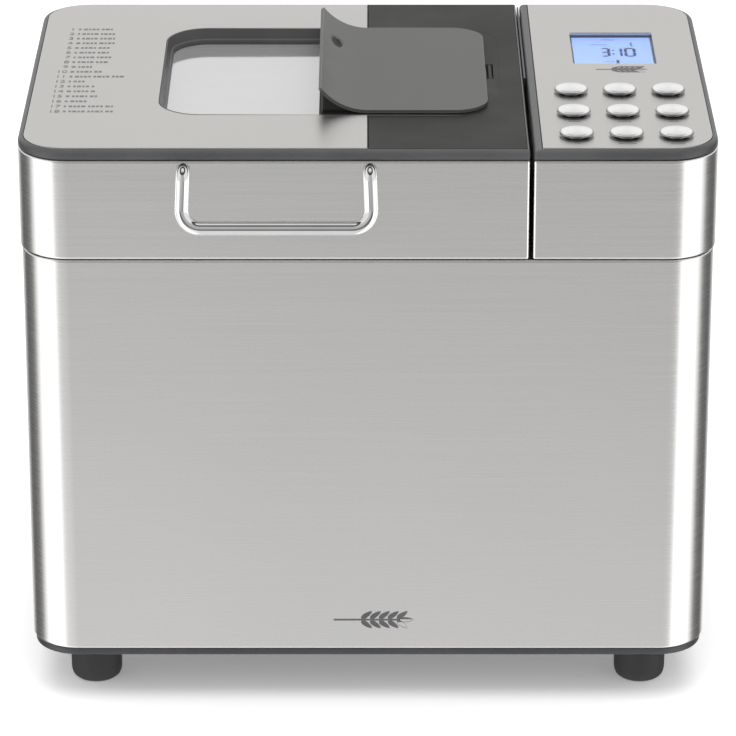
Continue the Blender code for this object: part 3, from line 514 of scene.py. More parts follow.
def walls(name, profile, look, body, outline=None, **more):
    """A loop of (inset, z) points carried round an outline, or of (outline, z) points."""
    rings = [ring_of(outline.inset(p) if outline else p, z) for p, z in profile]
    return skin(name, rings, look, body, **more)


def sheet_profile(z0, z1, thick):
    """A sheet's section with its two edges rolled inwards, as (inset, z)."""
    r = 0.92 * thick
    turns = [pi / 2 * i / 5 for i in range(6)]
    top = [(r - r * cos(a), z1 - r + r * sin(a)) for a in turns]
    low = [(r - r * sin(a), z0 + r - r * cos(a)) for a in turns]
    back = [(thick, z1 - 0.1 * MM), (thick, z0 + 0.1 * MM)]
    return [(0.0, z1 - r - 0.4 * MM)] + top + back + low + [(0.0, z0 + r + 0.4 * MM)]


def flat(name, loops, z0, z1, bevel, look, body, **more):
    """A flat plate from closed loops, the inner ones being holes, with rounded edges."""
    curve = bpy.data.curves.new(name, "CURVE")
    curve.dimensions = "2D"
    curve.fill_mode = "BOTH"
    curve.extrude = (z1 - z0) / 2 - bevel
    curve.bevel_depth = bevel
    curve.bevel_resolution = 2
    curve.offset = -bevel
    for loop in loops:
        spline = curve.splines.new("POLY")
        spline.points.add(len(loop) - 1)
        for point, place in zip(spline.points, loop):
            point.co = (place[0], place[1], 0.0, 1.0)
        spline.use_cyclic_u = True
    return meshed(name, curve, Matrix.Translation((0, 0, (z0 + z1) / 2)), look, body, **more)


def meshed(name, curve, matrix, look, body, sharp=38.0, **more):
    """A curve or text made into a mesh piece, unrolled flat in x and y."""
    maker = bpy.data.objects.new(name + "_curve", curve)
    bpy.context.scene.collection.objects.link(maker)
    bpy.context.view_layer.update()
    depsgraph = bpy.context.evaluated_depsgraph_get()
    mesh = bpy.data.meshes.new_from_object(maker.evaluated_get(depsgraph))
    bpy.data.objects.remove(maker)
    mesh.transform(matrix)
    bm = bmesh.new()
    bm.from_mesh(mesh)
    bpy.data.meshes.remove(mesh)
    bmesh.ops.remove_doubles(bm, verts=bm.verts, dist=1e-6)
    bmesh.ops.dissolve_degenerate(bm, edges=bm.edges, dist=1e-7)
    uv = bm.loops.layers.uv.get("UVMap") or bm.loops.layers.uv.new("UVMap")
    for face in bm.faces:
        for loop in face.loops:
            loop[uv].uv = (loop.vert.co.x, loop.vert.co.y)
    return finish_mesh(name, bm, look, body, sharp=sharp, **more)


def circle(x, y, r, steps=40, squash=1.0):
    return [
        (x + r * cos(2 * pi * i / steps), y + squash * r * sin(2 * pi * i / steps))
        for i in range(steps)
    ]


def lathe(name, profile, x, y, look, body, steps=48, closed=False, **more):
    """A solid of revolution about an upright axis."""
    rings = []
    for r, z in profile:
        turns = [2 * pi * i / steps for i in range(steps)]
        rings.append([(x + max(r, 1e-5) * cos(a), y + max(r, 1e-5) * sin(a), z) for a in turns])
    return skin(name, rings, look, body, closed=closed, **more)


def turned_between(name, start, end, profile, look, body, steps=32, closed=False, **more):
    """A solid of revolution about the line between two points, from (radius, share of the length)."""
    start, end = Vector(start), Vector(end)
    turn = (end - start).to_track_quat("Z", "Y").to_matrix()
    rings = []
    for r, t in profile:
        middle = start + (end - start) * t
        rings.append(
            [
                tuple(middle + turn @ Vector((r * cos(a), r * sin(a), 0.0)))
                for a in (2 * pi * i / steps for i in range(steps))
            ]
        )
    return skin(name, rings, look, body, closed=closed, **more)


def rod(name, points, radius, bend, look, body, steps=9, sides=28, **more):
    """A round rod along a polyline whose corners are turned into arcs."""
    route = [Vector(points[0])]
    bends = [bend] * (len(points) - 2) if isinstance(bend, float) else bend
    for bend, before, corner, after in zip(bends, points, points[1:], points[2:]):
        corner = Vector(corner)
        back, on = (Vector(before) - corner).normalized(), (Vector(after) - corner).normalized()
        half = back.angle(on) / 2
        centre = corner + (back + on).normalized() * (bend / sin(half))
        reach = bend / tan(half)
        a, b = (corner + back * reach - centre).normalized(), (corner + on * reach - centre).normalized()
        route += [centre + a.slerp(b, i / steps) * bend for i in range(steps + 1)]
    route.append(Vector(points[-1]))
    rings, side = [], None
    for i, place in enumerate(route):
        ahead = (route[min(i + 1, len(route) - 1)] - route[max(i - 1, 0)]).normalized()
        if side is None:
            side = ahead.orthogonal().normalized()
        side = (side - ahead * side.dot(ahead)).normalized()
        up = ahead.cross(side)
        turns = [2 * pi * j / sides for j in range(sides)]
        rings.append([tuple(place + (side * cos(t) + up * sin(t)) * radius) for t in turns])
    return skin(name, rings, look, body, closed=False, **more)


def block(name, x, y, z, look, body, bevel=0.0006, **more):
    """A block with rounded edges, given as a (low, high) pair for each axis."""
    bm = bmesh.new()
    bmesh.ops.create_cube(bm, size=1.0)
    bmesh.ops.scale(bm, vec=[b - a for a, b in (x, y, z)], verts=bm.verts)
    bmesh.ops.translate(bm, vec=[(a + b) / 2 for a, b in (x, y, z)], verts=bm.verts)
    bmesh.ops.bevel(bm, geom=bm.edges[:], offset=bevel, segments=3, profile=0.5, affect="EDGES")
    uv = bm.loops.layers.uv.new("UVMap")
    for face in bm.faces:
        n = [abs(c) for c in face.normal]
        a, b = ((1, 2), (0, 2), (0, 1))[n.index(max(n))]
        for loop in face.loops:
            loop[uv].uv = (loop.vert.co[a], loop.vert.co[b])
    return finish_mesh(name, bm, look, body, sharp=50.0, **more)


def mark(name, loops, z, look, body, high=0.00008):
    """A thin printed shape on a flat face."""
    return flat(name, loops, z, z + high, 0.000005, look, body)


# --- Body ---


def body_shell():
    half = 0.1500  # half the rear opening, which the rear panel closes
    rings = []
    for inset, z in sheet_profile(WRAP_LOW, WRAP_HIGH + SEAM, SHEET):
        outline = BODY.inset(inset)
        fl, fr, rr, rl = outline.corners()
        path = [(-half, outline.y1)] + rl + fl + fr + rr + [(half, outline.y1)]
        rings.append([(x, y, z) for x, y in path])
    skin("steel_wrap", rings, STEEL, "housing", round_path=False, stands_for=["outer_wrap"],
         slot="brushed_steel")
    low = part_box("base_tray")[0].z
    edge = over(low, (9.0, 0.3), (6.5, 0.0), (2.9, 0.0), (2.1, 0.12), (1.5, 0.45), (1.2, 1.0), (0.9, 3.7),
                (1.1, 4.15), (1.7, 4.5), (1.7, 16.0), (3.5, 16.0), (3.5, 3.0))
    walls("floor_moulding", edge, FLOOR_TRIM, "housing", BODY, closed=False,
          stands_for=["base_tray"], slot="trim_plastic")


def feet():
    for name in ("foot_front_left", "foot_front_right", "foot_rear_left", "foot_rear_right"):
        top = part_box(name)[1].z
        x, y, _ = centre(name)
        profile = over(0.0, (0.0, 1.0), (5.0, 1.0), (5.6, 0.3), (6.4, 0.0), (9.4, 0.0), (11.2, 0.45),
                       (12.6, 1.7), (13.4, 3.6), (13.7, 6.0), (13.7, 17.4), (13.3, 17.9), (13.3, 18.5),
                       (13.7, 19.0))
        profile += [(13.7 * MM, top), (0.0, top)]
        lathe(name + "_rubber", profile, x, y, RUBBER, "housing", stands_for=[name], slot="rubber")


def gland():
    low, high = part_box("cord_gland")
    x, _, z = centre("cord_gland")
    profile = [(4.0, 0.02), (8.0, 0.02), (8.0, 0.16), (7.2, 0.22), (6.3, 0.30), (6.3, 0.86), (5.8, 0.98),
               (4.4, 1.0)]
    profile += [(4.0, 0.94)]
    turned_between("gland_bush", (x, low.y, z), (x, high.y, z), [(r * MM, t) for r, t in profile], RUBBER,
                   "housing",
                   closed=True, stands_for=["cord_gland"], slot="rubber")
    # A near-black disc closing the bush's bore: painted shade in the hole.
    disc = shares((0.1, 0.0), (4.6, 0.0), (4.6, 1.0), (0.1, 1.0))
    turned_between("gland_bore_shade", (x, low.y, z), (x, low.y + 1.4 * MM, z), disc, GAP_SHADE_FILL, "housing")


# --- Lid and control housing ---


def rim(name, outline, left, right, body, node):
    """The moulding's rounded rim, with the groove and ledge that its inlaid plate sits in."""
    skirt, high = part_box(node)[0].z, BAND_HIGH
    section = [(1.5, skirt), (1.5, high + 0.25 * MM), (0.5, high + 0.4 * MM), (0.12, high + 0.75 * MM),
               (0.0, high + 1.3 * MM)]
    section += [(0.0, TOP - 2.6 * MM), (0.12, TOP - 1.75 * MM), (0.45, TOP - 1.0 * MM), (1.0, TOP - 0.4 * MM)]
    section += [(1.7, TOP - 0.08 * MM), (2.3, TOP), (2.62, TOP - 0.1 * MM), (2.74, TOP - 0.5 * MM),
                (2.8, TOP - 1.6 * MM)]
    section += [(9.0, TOP - 1.6 * MM), (9.0, skirt)]
    profile = [(inlaid(outline, by * MM, left, right), z) for by, z in section]
    walls(name, profile, RIM, body, stands_for=[node], slot="trim_plastic")


def window_frame():
    """The frame round the window, dished to the pane. Its black part lies flush round the dispenser."""
    skirt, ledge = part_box("lid_bezel")[0].z, GLASS_TOP + 0.3 * MM

    def lip(drop):
        return lambda x: PLATE_TOP + 0.05 * MM - drop if x < -0.1 * MM else TOP - 0.2 * drop

    rim_out = [(-2.5, skirt), (-2.5, TOP - 1.7 * MM), (-0.55, TOP - 1.7 * MM), (-0.55, lip(0.25 * MM)),
               (-0.4, lip(0.0)), (-0.12, lip(0.0))]
    profile = [(WINDOW.inset(by * MM), z) for by, z in rim_out]
    profile += [(WINDOW, lip(0.2 * MM)), (sloped(0.12), TOP - 0.9 * MM)]
    slope = ((0.55, 2.9), (0.60, 2.5), (0.82, 2.2), (0.90, 1.6), (1.0, 0.9), (1.0, 0.0))
    profile += [(sloped(t), ledge + up * MM) for t, up in slope]
    profile += [(sloped(1.0, -3.0 * MM), z) for z in (ledge, skirt)]
    made = walls("window_frame", profile, RIM, "lid", stands_for=["lid_bezel"], slot="trim_plastic",
                 sharp=30.0)
    second_look(made, PANEL, lambda face: face.center.x > 0)


def lid_top():
    walls("lid_steel_band", sheet_profile(BAND_LOW - SEAM, BAND_HIGH, SHEET), STEEL, "lid", LID,
          stands_for=["lid_band"], slot="brushed_steel")
    rim("lid_rim", LID, 0.0, -1.5 * MM, "lid", "lid_bezel")
    edge = inlaid(LID, 3.0 * MM, 0.0, -1.5 * MM)
    cut = WINDOW.inset(-0.75 * MM)
    fl, fr, rr, rl = edge.corners()
    cut_fl, _, _, cut_rl = cut.corners()
    x = PLATE_EDGE
    notch = [(x, cut.y0)] + cut_fl[::-1] + cut_rl[::-1] + [(x, cut.y1)]
    loop = fl + [(x, edge.y0)] + notch + [(x, edge.y1)] + rl
    flat("lid_steel_plate", [loop], TOP - 1.5 * MM, PLATE_TOP, 0.4 * MM, PLATE, "lid",
         stands_for=["lid_plate"], slot="brushed_steel")
    x += 0.55 * MM
    cut = WINDOW.inset(-0.57 * MM)
    _, cut_fr, cut_rr, _ = cut.corners()
    notch = [(x, cut.y1)] + cut_rr[::-1] + cut_fr[::-1] + [(x, cut.y0)]
    loop = [(x, edge.y0)] + fr + rr + [(x, edge.y1)] + notch
    flat("lid_dark_panel", [loop], TOP - 1.5 * MM, TOP, 0.10 * MM, PANEL, "lid", stands_for=["lid_bezel"],
         slot="trim_plastic")
    window_frame()


def window_pane():
    low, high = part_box("window_glass")
    pane = outline_of("window_glass", (21.5 * MM, 1.5 * MM, 1.5 * MM, 21.5 * MM))
    section = [(0.3 * MM, low.z), (0.0, low.z + 0.3 * MM), (0.0, high.z - 0.3 * MM), (0.3 * MM, high.z)]
    walls("window_pane", section, PANE, "lid", pane, closed=False, stands_for=["window_glass"],
          slot="window_glass")


def handle():
    low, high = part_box("lid_handle")
    r = 3.6 * MM
    middle = (low.x + high.x) / 2
    half_bar = 48.7 * MM
    half_top = half_bar - 1.1 * MM
    out, face = low.y + r, high.y
    top_z, bar_z = 0.3010, low.z + r  # the middles of its two ends in the band, and of the bar
    left = [(middle - half_top, face, top_z), (middle - half_top, face - 5.9 * MM, top_z),
            (middle - half_bar, out, bar_z)]
    right = [(2 * middle - x, y, z) for x, y, z in reversed(left)]
    bends = [5.0 * MM, 9.5 * MM, 9.5 * MM, 5.0 * MM]
    loop = rod("handle_loop", left + right, r, bends, CHROME, "lid", stands_for=["lid_handle"], slot="chrome")
    loop.visible_glossy = False


COVER_LIFT = 12.4 * MM  # how far the lip stands above the flat part


def cover_line(x):
    """Height of the cover's underside over its right part's, at x, on the arc of its raised lip."""
    left = -COVER_LOW.x
    if x >= 0:
        return 0.0
    radius = (left**2 + COVER_LIFT**2) / (2 * COVER_LIFT)
    return radius - sqrt(max(radius**2 - x**2, 0.0))


COVER_SEAT = TOP + 0.3 * MM
COVER_THICK = 1.8 * MM
COVER_END = 0.0627  # its right end, just short of the barrel
BARREL_X, BARREL_Z = 0.0650, 0.3095
DIMPLE_X, DIMPLE_Y = -0.0172, 0.0365  # the finger dimple


def cover():
    x0, x1 = COVER_LOW.x, COVER_END
    y0, y1 = COVER_LOW.y, COVER_HIGH.y
    r, r_left = 18 * MM, 1.2 * MM
    across, long = 116, 96
    xs = [x0 + (x1 - x0) * (0.5 - 0.5 * cos(pi * i / across)) for i in range(across + 1)]
    bm = bmesh.new()
    uv = bm.loops.layers.uv.new("UVMap")

    def bite(x):
        if x > x1 - r:
            return r - sqrt(max(r * r - (x - x1 + r) ** 2, 0.0))
        if x < x0 + r_left:
            return r_left - sqrt(max(r_left**2 - (x0 + r_left - x) ** 2, 0.0))
        return 0.0

    rows = []
    for x in xs:
        low, high = y0 + bite(x), y1 - bite(x)
        row = []
        for j in range(long + 1):
            y = low + (high - low) * (0.5 - 0.5 * cos(pi * j / long))
            z = COVER_SEAT + cover_line(x) + COVER_THICK / 2
            d = hypot((x - DIMPLE_X) / 4.2 / MM, (y - DIMPLE_Y) / 9.0 / MM)
            z -= 1.9 * MM * max(0.0, 1 - d * d) ** 1.3
            row.append(bm.verts.new((x, y, z)))
        rows.append(row)
    for a, b in zip(rows, rows[1:]):
        for j in range(long):
            face = bm.faces.new((a[j], b[j], b[j + 1], a[j + 1]))
            for loop in face.loops:
                loop[uv].uv = (loop.vert.co.x, loop.vert.co.y)
    made = finish_mesh("dispenser_cover_shell", bm, FLAP, "cover", ["dispenser_cover"], slot="cover_plastic")
    made.modifiers.clear()

    def in_dimple(face):
        return hypot((face.center.x - DIMPLE_X) / 3.4, (face.center.y - DIMPLE_Y) / 7.4) < MM

    # The dimple's floor takes the darker panel plastic: painted shade in the hollow.
    second_look(made, PANEL, in_dimple)
    thick = made.modifiers.new("thickness", "SOLIDIFY")
    thick.thickness = COVER_THICK
    thick.offset = 0.0
    soften(made, 0.55 * MM, 3, 55)
    middle, half = (y0 + y1) / 2, 12 * MM
    x, z = BARREL_X, BARREL_Z
    turned_between("cover_barrel", (x, middle - half, z), (x, middle + half, z),
                   shares((0.1, 0), (1.3, 0), (1.5, 0.02), (1.5, 0.98), (1.3, 1), (0.1, 1)), PANEL, "cover")
    turned_between("cover_stub", (x, middle - half - 2 * MM, z), (x, middle + half + 2 * MM, z),
                   shares((0.9, 0), (0.9, 1)), SHAFT, "cover")
    for part, ends, heights in (("arm", (0.0604, 0.0622), (0.3084, 0.3116)),
                                ("foot", (0.0608, 0.0645), (0.3083, 0.3098))):
        block(f"cover_{part}", ends, (middle - half, middle + half), heights, PANEL, "cover", 0.2 * MM)


def carve(piece, cutter):
    """Takes the cutter's shape out of the piece."""
    change = piece.modifiers.new("carve", "BOOLEAN")
    change.solver = "EXACT"
    change.object = cutter
    bpy.context.view_layer.update()
    mesh = bpy.data.meshes.new_from_object(piece.evaluated_get(bpy.context.evaluated_depsgraph_get()))
    piece.modifiers.remove(change)
    old, piece.data = piece.data, mesh
    bpy.data.meshes.remove(old)
    bpy.data.objects.remove(cutter)


def tray():
    ledge = GLASS_TOP + 1.1 * MM
    flush = TOP - 0.04 * MM
    r = 21.7 * MM
    under = 0.2950

    def flange(t, by=0.0):
        o = sloped(t, 0.05 * MM + by)
        return Outline(TRAY_LOW.x + by, o.x1, o.y0, o.y1, (1.5 * MM, r, r, 1.5 * MM), 40)

    edge = Outline(TRAY_LOW.x + 1.5 * MM, 0.0617, COVER_LOW.y + 1.2 * MM, COVER_HIGH.y - 1.2 * MM,
                   (1.5 * MM, 17 * MM, 17 * MM, 1.5 * MM), 40)
    waist = Outline(TRAY_LOW.x + 3.4 * MM, 0.0636, -0.0604, 0.0755,
                    (1.0 * MM, 16.6 * MM, 16.6 * MM, 1.0 * MM), 40)
    hollow = Outline(TRAY_LOW.x + 5.2 * MM, 0.0585, -0.0586, 0.0737, (2 * MM, 10 * MM, 10 * MM, 2 * MM), 40)

    def lip(drop):
        return lambda x: TOP + cover_line(x) * 0.995 - drop

    profile = [(waist, under), (waist, ledge), (flange(0.9, 0.1 * MM), ledge),
               (flange(0.86), ledge + 0.2 * MM)]
    profile += [(flange(0.0), flush - 0.05 * MM), (flange(0.0, 0.06 * MM), flush),
                (edge.inset(-0.3 * MM), flush), (edge, flush + 0.01 * MM)]
    profile += [(edge, lip(0.12 * MM))]
    profile += [(edge.inset(by * MM), lip(drop * MM)) for by, drop in ((0.15, 0.03), (0.5, 0.0), (1.0, 0.0))]
    profile += [(hollow.inset(-0.4 * MM), lip(0.05 * MM)), (hollow, lip(0.5 * MM)), (hollow, 0.2974),
                (hollow.inset(0.6 * MM), 0.2967)]
    profile += [(hollow.inset(1.8 * MM), 0.2965), (hollow.inset(1.8 * MM), under)]
    box = walls("dispenser_box", profile, TRAY_BLACK, "lid", stands_for=["dispenser_tray"],
                slot="black_plastic", sharp=30.0)
    second_look(box, PANEL, lambda face: abs(face.center.z - flush) < 0.3 * MM and abs(face.normal.z) > 0.5)
    middle, half = (COVER_LOW.y + COVER_HIGH.y) / 2, 12.5 * MM
    carve(box, block("pocket", (0.0597, 0.0671), (middle - half, middle + half), (0.3074, 0.3300), TRAY_BLACK,
                     "lid", 0.3 * MM))
    drop = Outline(-0.0120, 0.0410, -0.0370, 0.0520, 3 * MM)
    flat("dispenser_floor", [hollow.inset(1.2 * MM).points(), drop.points()], 0.2952, 0.2966, 0.2 * MM,
         TRAY_BLACK, "lid")
    for name, y0, y1 in (("front", -0.0450, -0.0403), ("rear", 0.0553, 0.0600)):
        block(f"door_lug_{name}", (-0.0200, -0.0140), (y0, y1), (0.2901, 0.2953), TRAY_BLACK, "lid", 0.3 * MM)


def control_top():
    walls("control_steel_band", sheet_profile(BAND_LOW - SEAM, BAND_HIGH, SHEET), STEEL,
          "housing", CONTROL, stands_for=["control_band"], slot="brushed_steel")
    rim("control_rim", CONTROL, 1.5 * MM, 0.0, "housing", "control_bezel")
    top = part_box("lcd_module")[1].z
    screen = outline_of("lcd_module", 1.2 * MM, 0.1 * MM)
    holes = [circle(x, y, 7.0 * MM) for x, y in button_places()]
    flat("control_steel_plate", [inlaid(CONTROL, 3.0 * MM, 1.5 * MM).points(), screen.points()] + holes,
         TOP - 1.5 * MM, PLATE_TOP, 0.4 * MM,
         PLATE, "housing", stands_for=["control_plate"], slot="brushed_steel")
    # A near-black sheet under the plate, seen through its gaps: painted shade.
    back = CONTROL.inset(8.8 * MM)
    flat("control_shade_backing", [back.points(), screen.inset(-0.4 * MM).points()], TOP - 3.4 * MM, TOP - 2.0 * MM,
         0.2 * MM, GAP_SHADE_FILL, "housing")
    section = [(-0.3 * MM, top - 3 * MM), (-0.3 * MM, TOP - 1.8 * MM), (0.0, TOP - 1.7 * MM),
               (0.9 * MM, top + 0.3 * MM)]
    section += [(1.1 * MM, top), (1.1 * MM, top - 3 * MM)]
    walls("screen_surround", section, RIM, "housing", screen)


def button_places():
    return [centre(f"button_{i}")[:2] for i in range(1, 10)]


def buttons():
    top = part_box("button_1")[1].z
    for i, (x, y) in enumerate(button_places(), 1):
        collar = over(PLATE_TOP, (5.6, -1.6), (5.6, 0.02), (5.9, 0.10), (6.6, 0.16), (7.3, 0.12), (7.6, 0.05),
                      (7.7, 0.0), (6.8, -0.2), (6.8, -1.6))
        lathe(f"button_collar_{i}", collar, x, y, CHROME, "housing", closed=True)
        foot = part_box(f"button_{i}")[0].z + 0.2 * MM
        # The ring under each cap takes the darkened chrome, a painted reflection of dark surroundings.
        skirt = over(top, (5.2, -2.60), (5.8, -2.48), (8.2, -2.34), (8.75, -2.12), (9.0, -1.8), (8.85, -1.42),
                     (8.4, -1.22), (7.9, -1.2), (7.7, -1.5), (0.0, -1.5))
        lathe(f"button_ring_{i}", [(0.0, foot), (5.2 * MM, foot)] + skirt, x, y, CHROME_PAINTED_DARK, f"button_{i}",
              stands_for=[f"button_{i}"], slot="chrome")
        turns = [pi / 2 * k / 9 for k in range(1, 10)]
        dome = [(0.0, -1.6), (8.1, -1.6), (8.25, -1.25), (8.1, -0.98)]
        dome += [(8.1 * cos(a), -(0.98 - 0.93 * sin(a))) for a in turns]
        lathe(f"button_cap_{i}", over(top, *dome), x, y, CAP, f"button_{i}", slot="chrome")


def digit(x, y, w, h, code, thick=0.00085):
    """Loops for the lit bars of a seven-bar digit; code names them from a, the top, to g, the middle."""
    t, s, made = thick / 2, 0.00022, []

    def bar(ax, ay, bx, by):
        if ay == by:
            a, b = ax + s, bx - s
            return [(a, ay), (a + t, ay - t), (b - t, ay - t), (b, ay), (b - t, ay + t), (a + t, ay + t)]
        a, b = ay + s, by - s
        return [(ax, a), (ax + t, a + t), (ax + t, b - t), (ax, b), (ax - t, b - t), (ax - t, a + t)]

    mid = y + h / 2
    bars = {
        "a": (x, y + h, x + w, y + h),
        "b": (x + w, mid, x + w, y + h),
        "c": (x + w, y, x + w, mid),
        "d": (x, y, x + w, y),
        "e": (x, y, x, mid),
        "f": (x, mid, x, y + h),
        "g": (x, mid, x + w, mid),
    }
    for key in code:
        made.append(bar(*bars[key]))
    return made


def bar_loop(x0, x1, y0, y1):
    return [(x0, y0), (x1, y0), (x1, y1), (x0, y1)]


def display():
    low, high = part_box("lcd_module")
    x0, x1, y0, y1, z = low.x, high.x, low.y, high.y, high.z
    block("display_panel", (x0, x1), (y0, y1), (low.z, z), SCREEN, "housing", 0.1 * MM,
          stands_for=["lcd_module"], slot="screen")
    w, h = x1 - x0, y1 - y0
    loops = []
    for left, wide, code, thick in ((0.365, 0.090, "abcdg", 1.7), (0.535, 0.070, "bc", 1.5),
                                    (0.660, 0.105, "abcdef", 1.7)):
        loops += digit(x0 + w * left, y0 + h * 0.375, w * wide, h * 0.25, code, thick * MM)
    colon = x0 + w * 0.500
    loops += [bar_loop(colon, colon + 0.9 * MM, y0 + h * k, y0 + h * k + 2.0 * MM) for k in (0.43, 0.54)]
    loops += digit(x0 + w * 0.700, y0 + h * 0.70, w * 0.04, h * 0.12, "bc", 1.1 * MM)
    loops += [bar_loop(x0 + w * 0.53, x0 + w * 0.565, y0 + h * 0.145, y0 + h * 0.245)]
    mark("display_figures", loops, z + 0.02 * MM, INK, "housing")
    faint = [bar_loop(x0 + w * a, x0 + w * b, y0 + h * c, y0 + h * c + 0.5 * MM) for a, b, c in
             ((0.38, 0.55, 0.90), (0.22, 0.44, 0.74), (0.40, 0.45, 0.19), (0.46, 0.505, 0.19))]
    mark("display_scale", faint, z + 0.02 * MM, PRINT, "housing")
    low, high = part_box("screen_lens")
    block("display_lens", (low.x, high.x), (low.y, high.y), (low.z, high.z), LENS, "housing", 0.15 * MM,
          stands_for=["screen_lens"], slot="window_glass")


def sprig(x, y, length, height):
    """Loops of a lying ear of wheat: a stalk with pairs of grains and a grain at its tip."""
    loops = [bar_loop(x - length / 2, x + length * 0.36, y - height * 0.035, y + height * 0.035)]

    def grain(cx, cy, size, lean):
        made = []
        for i in range(18):
            a = 2 * pi * i / 18
            u, v = size * cos(a), size * 0.36 * sin(a) * (1 - 0.35 * cos(a))
            made.append((cx + u * cos(lean) - v * sin(lean),
                         cy + u * sin(lean) + v * cos(lean)))
        return made

    size = height * 0.30
    for i in range(5):
        cx = x - length * 0.12 + i * length * 0.115
        for side in (-1, 1):
            loops.append(grain(cx + size * 0.55, y + side * size * 0.80, size, side * 0.62))
    loops.append(grain(x + length * 0.44, y, size * 1.05, 0.0))
    return loops


def marks():
    """Programme numbers with plain bars beside them, key marks and two wheat sprigs."""
    z = PLATE_TOP
    words = (20, 22, 21, 21, 19, 20, 21, 19, 11, 17, 29, 9, 14, 16, 18, 13, 27, 27)
    left, first, pitch = -0.1590, 0.0790, 8.24 * MM
    numbers, bars = [], []
    for i, length in enumerate(words):
        y = first - i * pitch
        text = bpy.data.curves.new(f"number_{i + 1}", "FONT")
        text.body = str(i + 1)
        text.size = 6.2 * MM
        text.align_x = "RIGHT"
        text.align_y = "CENTER"
        text.extrude = 0.03 * MM
        place = Matrix.Translation((left - 1.6 * MM, y, z + 0.05 * MM))
        numbers.append(meshed(f"number_{i + 1}", text, place, PRINT_LIGHT, "lid"))
        start, k = left, 0
        while start < left + length * MM - 1.0 * MM:
            run = (1.5, 2.3, 1.2, 1.9, 1.5)[(2 * i + k) % 5] * MM
            end = min(start + run, left + length * MM)
            bars.append(bar_loop(start, end, y - 1.25 * MM, y + 1.25 * MM))
            start, k = end + (0.55 if k % 4 else 1.3) * MM, k + 1
    mark("programme_bars", bars, z + 0.02 * MM, PRINT_LIGHT, "lid", 0.06 * MM)
    join(numbers, "programme_numbers")
    keys = []
    for i, (x, y) in enumerate(button_places()):
        width = (5.0, 7.0, 6.0, 6.5, 7.0, 5.0, 3.0, 9.0, 7.5)[i] * MM
        keys.append(bar_loop(x - width / 2, x + width / 2, y - 13.6 * MM, y - 12.5 * MM))
    mark("key_marks", keys, z + 0.02 * MM, PRINT_LIGHT, "housing", 0.06 * MM)
    mark("panel_sprig", sprig(0.1345, 0.0090, 25 * MM, 12.5 * MM), z + 0.02 * MM, PRINT, "housing", 0.06 * MM)
    front = mark("front_sprig", sprig(0.0, 0.0, 41 * MM, 11.5 * MM), 0.0, PRINT, "housing", 0.25 * MM)
    # Stands the lying mark up against the front of the wrap
    upright = Matrix.Rotation(radians(90), 4, "X")
    front.data.transform(Matrix.Translation((0.0023, BODY.y0, 0.0475)) @ upright)


def join(pieces, name):
    """One piece from several of one body and look."""
    bm = bmesh.new()
    bm.loops.layers.uv.new("UVMap")
    for piece in pieces:
        bm.from_mesh(piece.data)
    look, body = pieces[0].data.materials[0], pieces[0]["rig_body"]
    for piece in pieces:
        bpy.data.objects.remove(piece)
    return finish_mesh(name, bm, look, body)


# --- Inside ---


def quarter(outline, r, z, steps, up=1):
    """Profile points round the bend from an upright side into a floor or, with up=-1, a ceiling."""
    turns = [pi / 2 * k / steps for k in range(1, steps + 1)]
    return [(outline.inset(r * (1 - cos(a))), z + up * r * (1 - sin(a))) for a in turns]


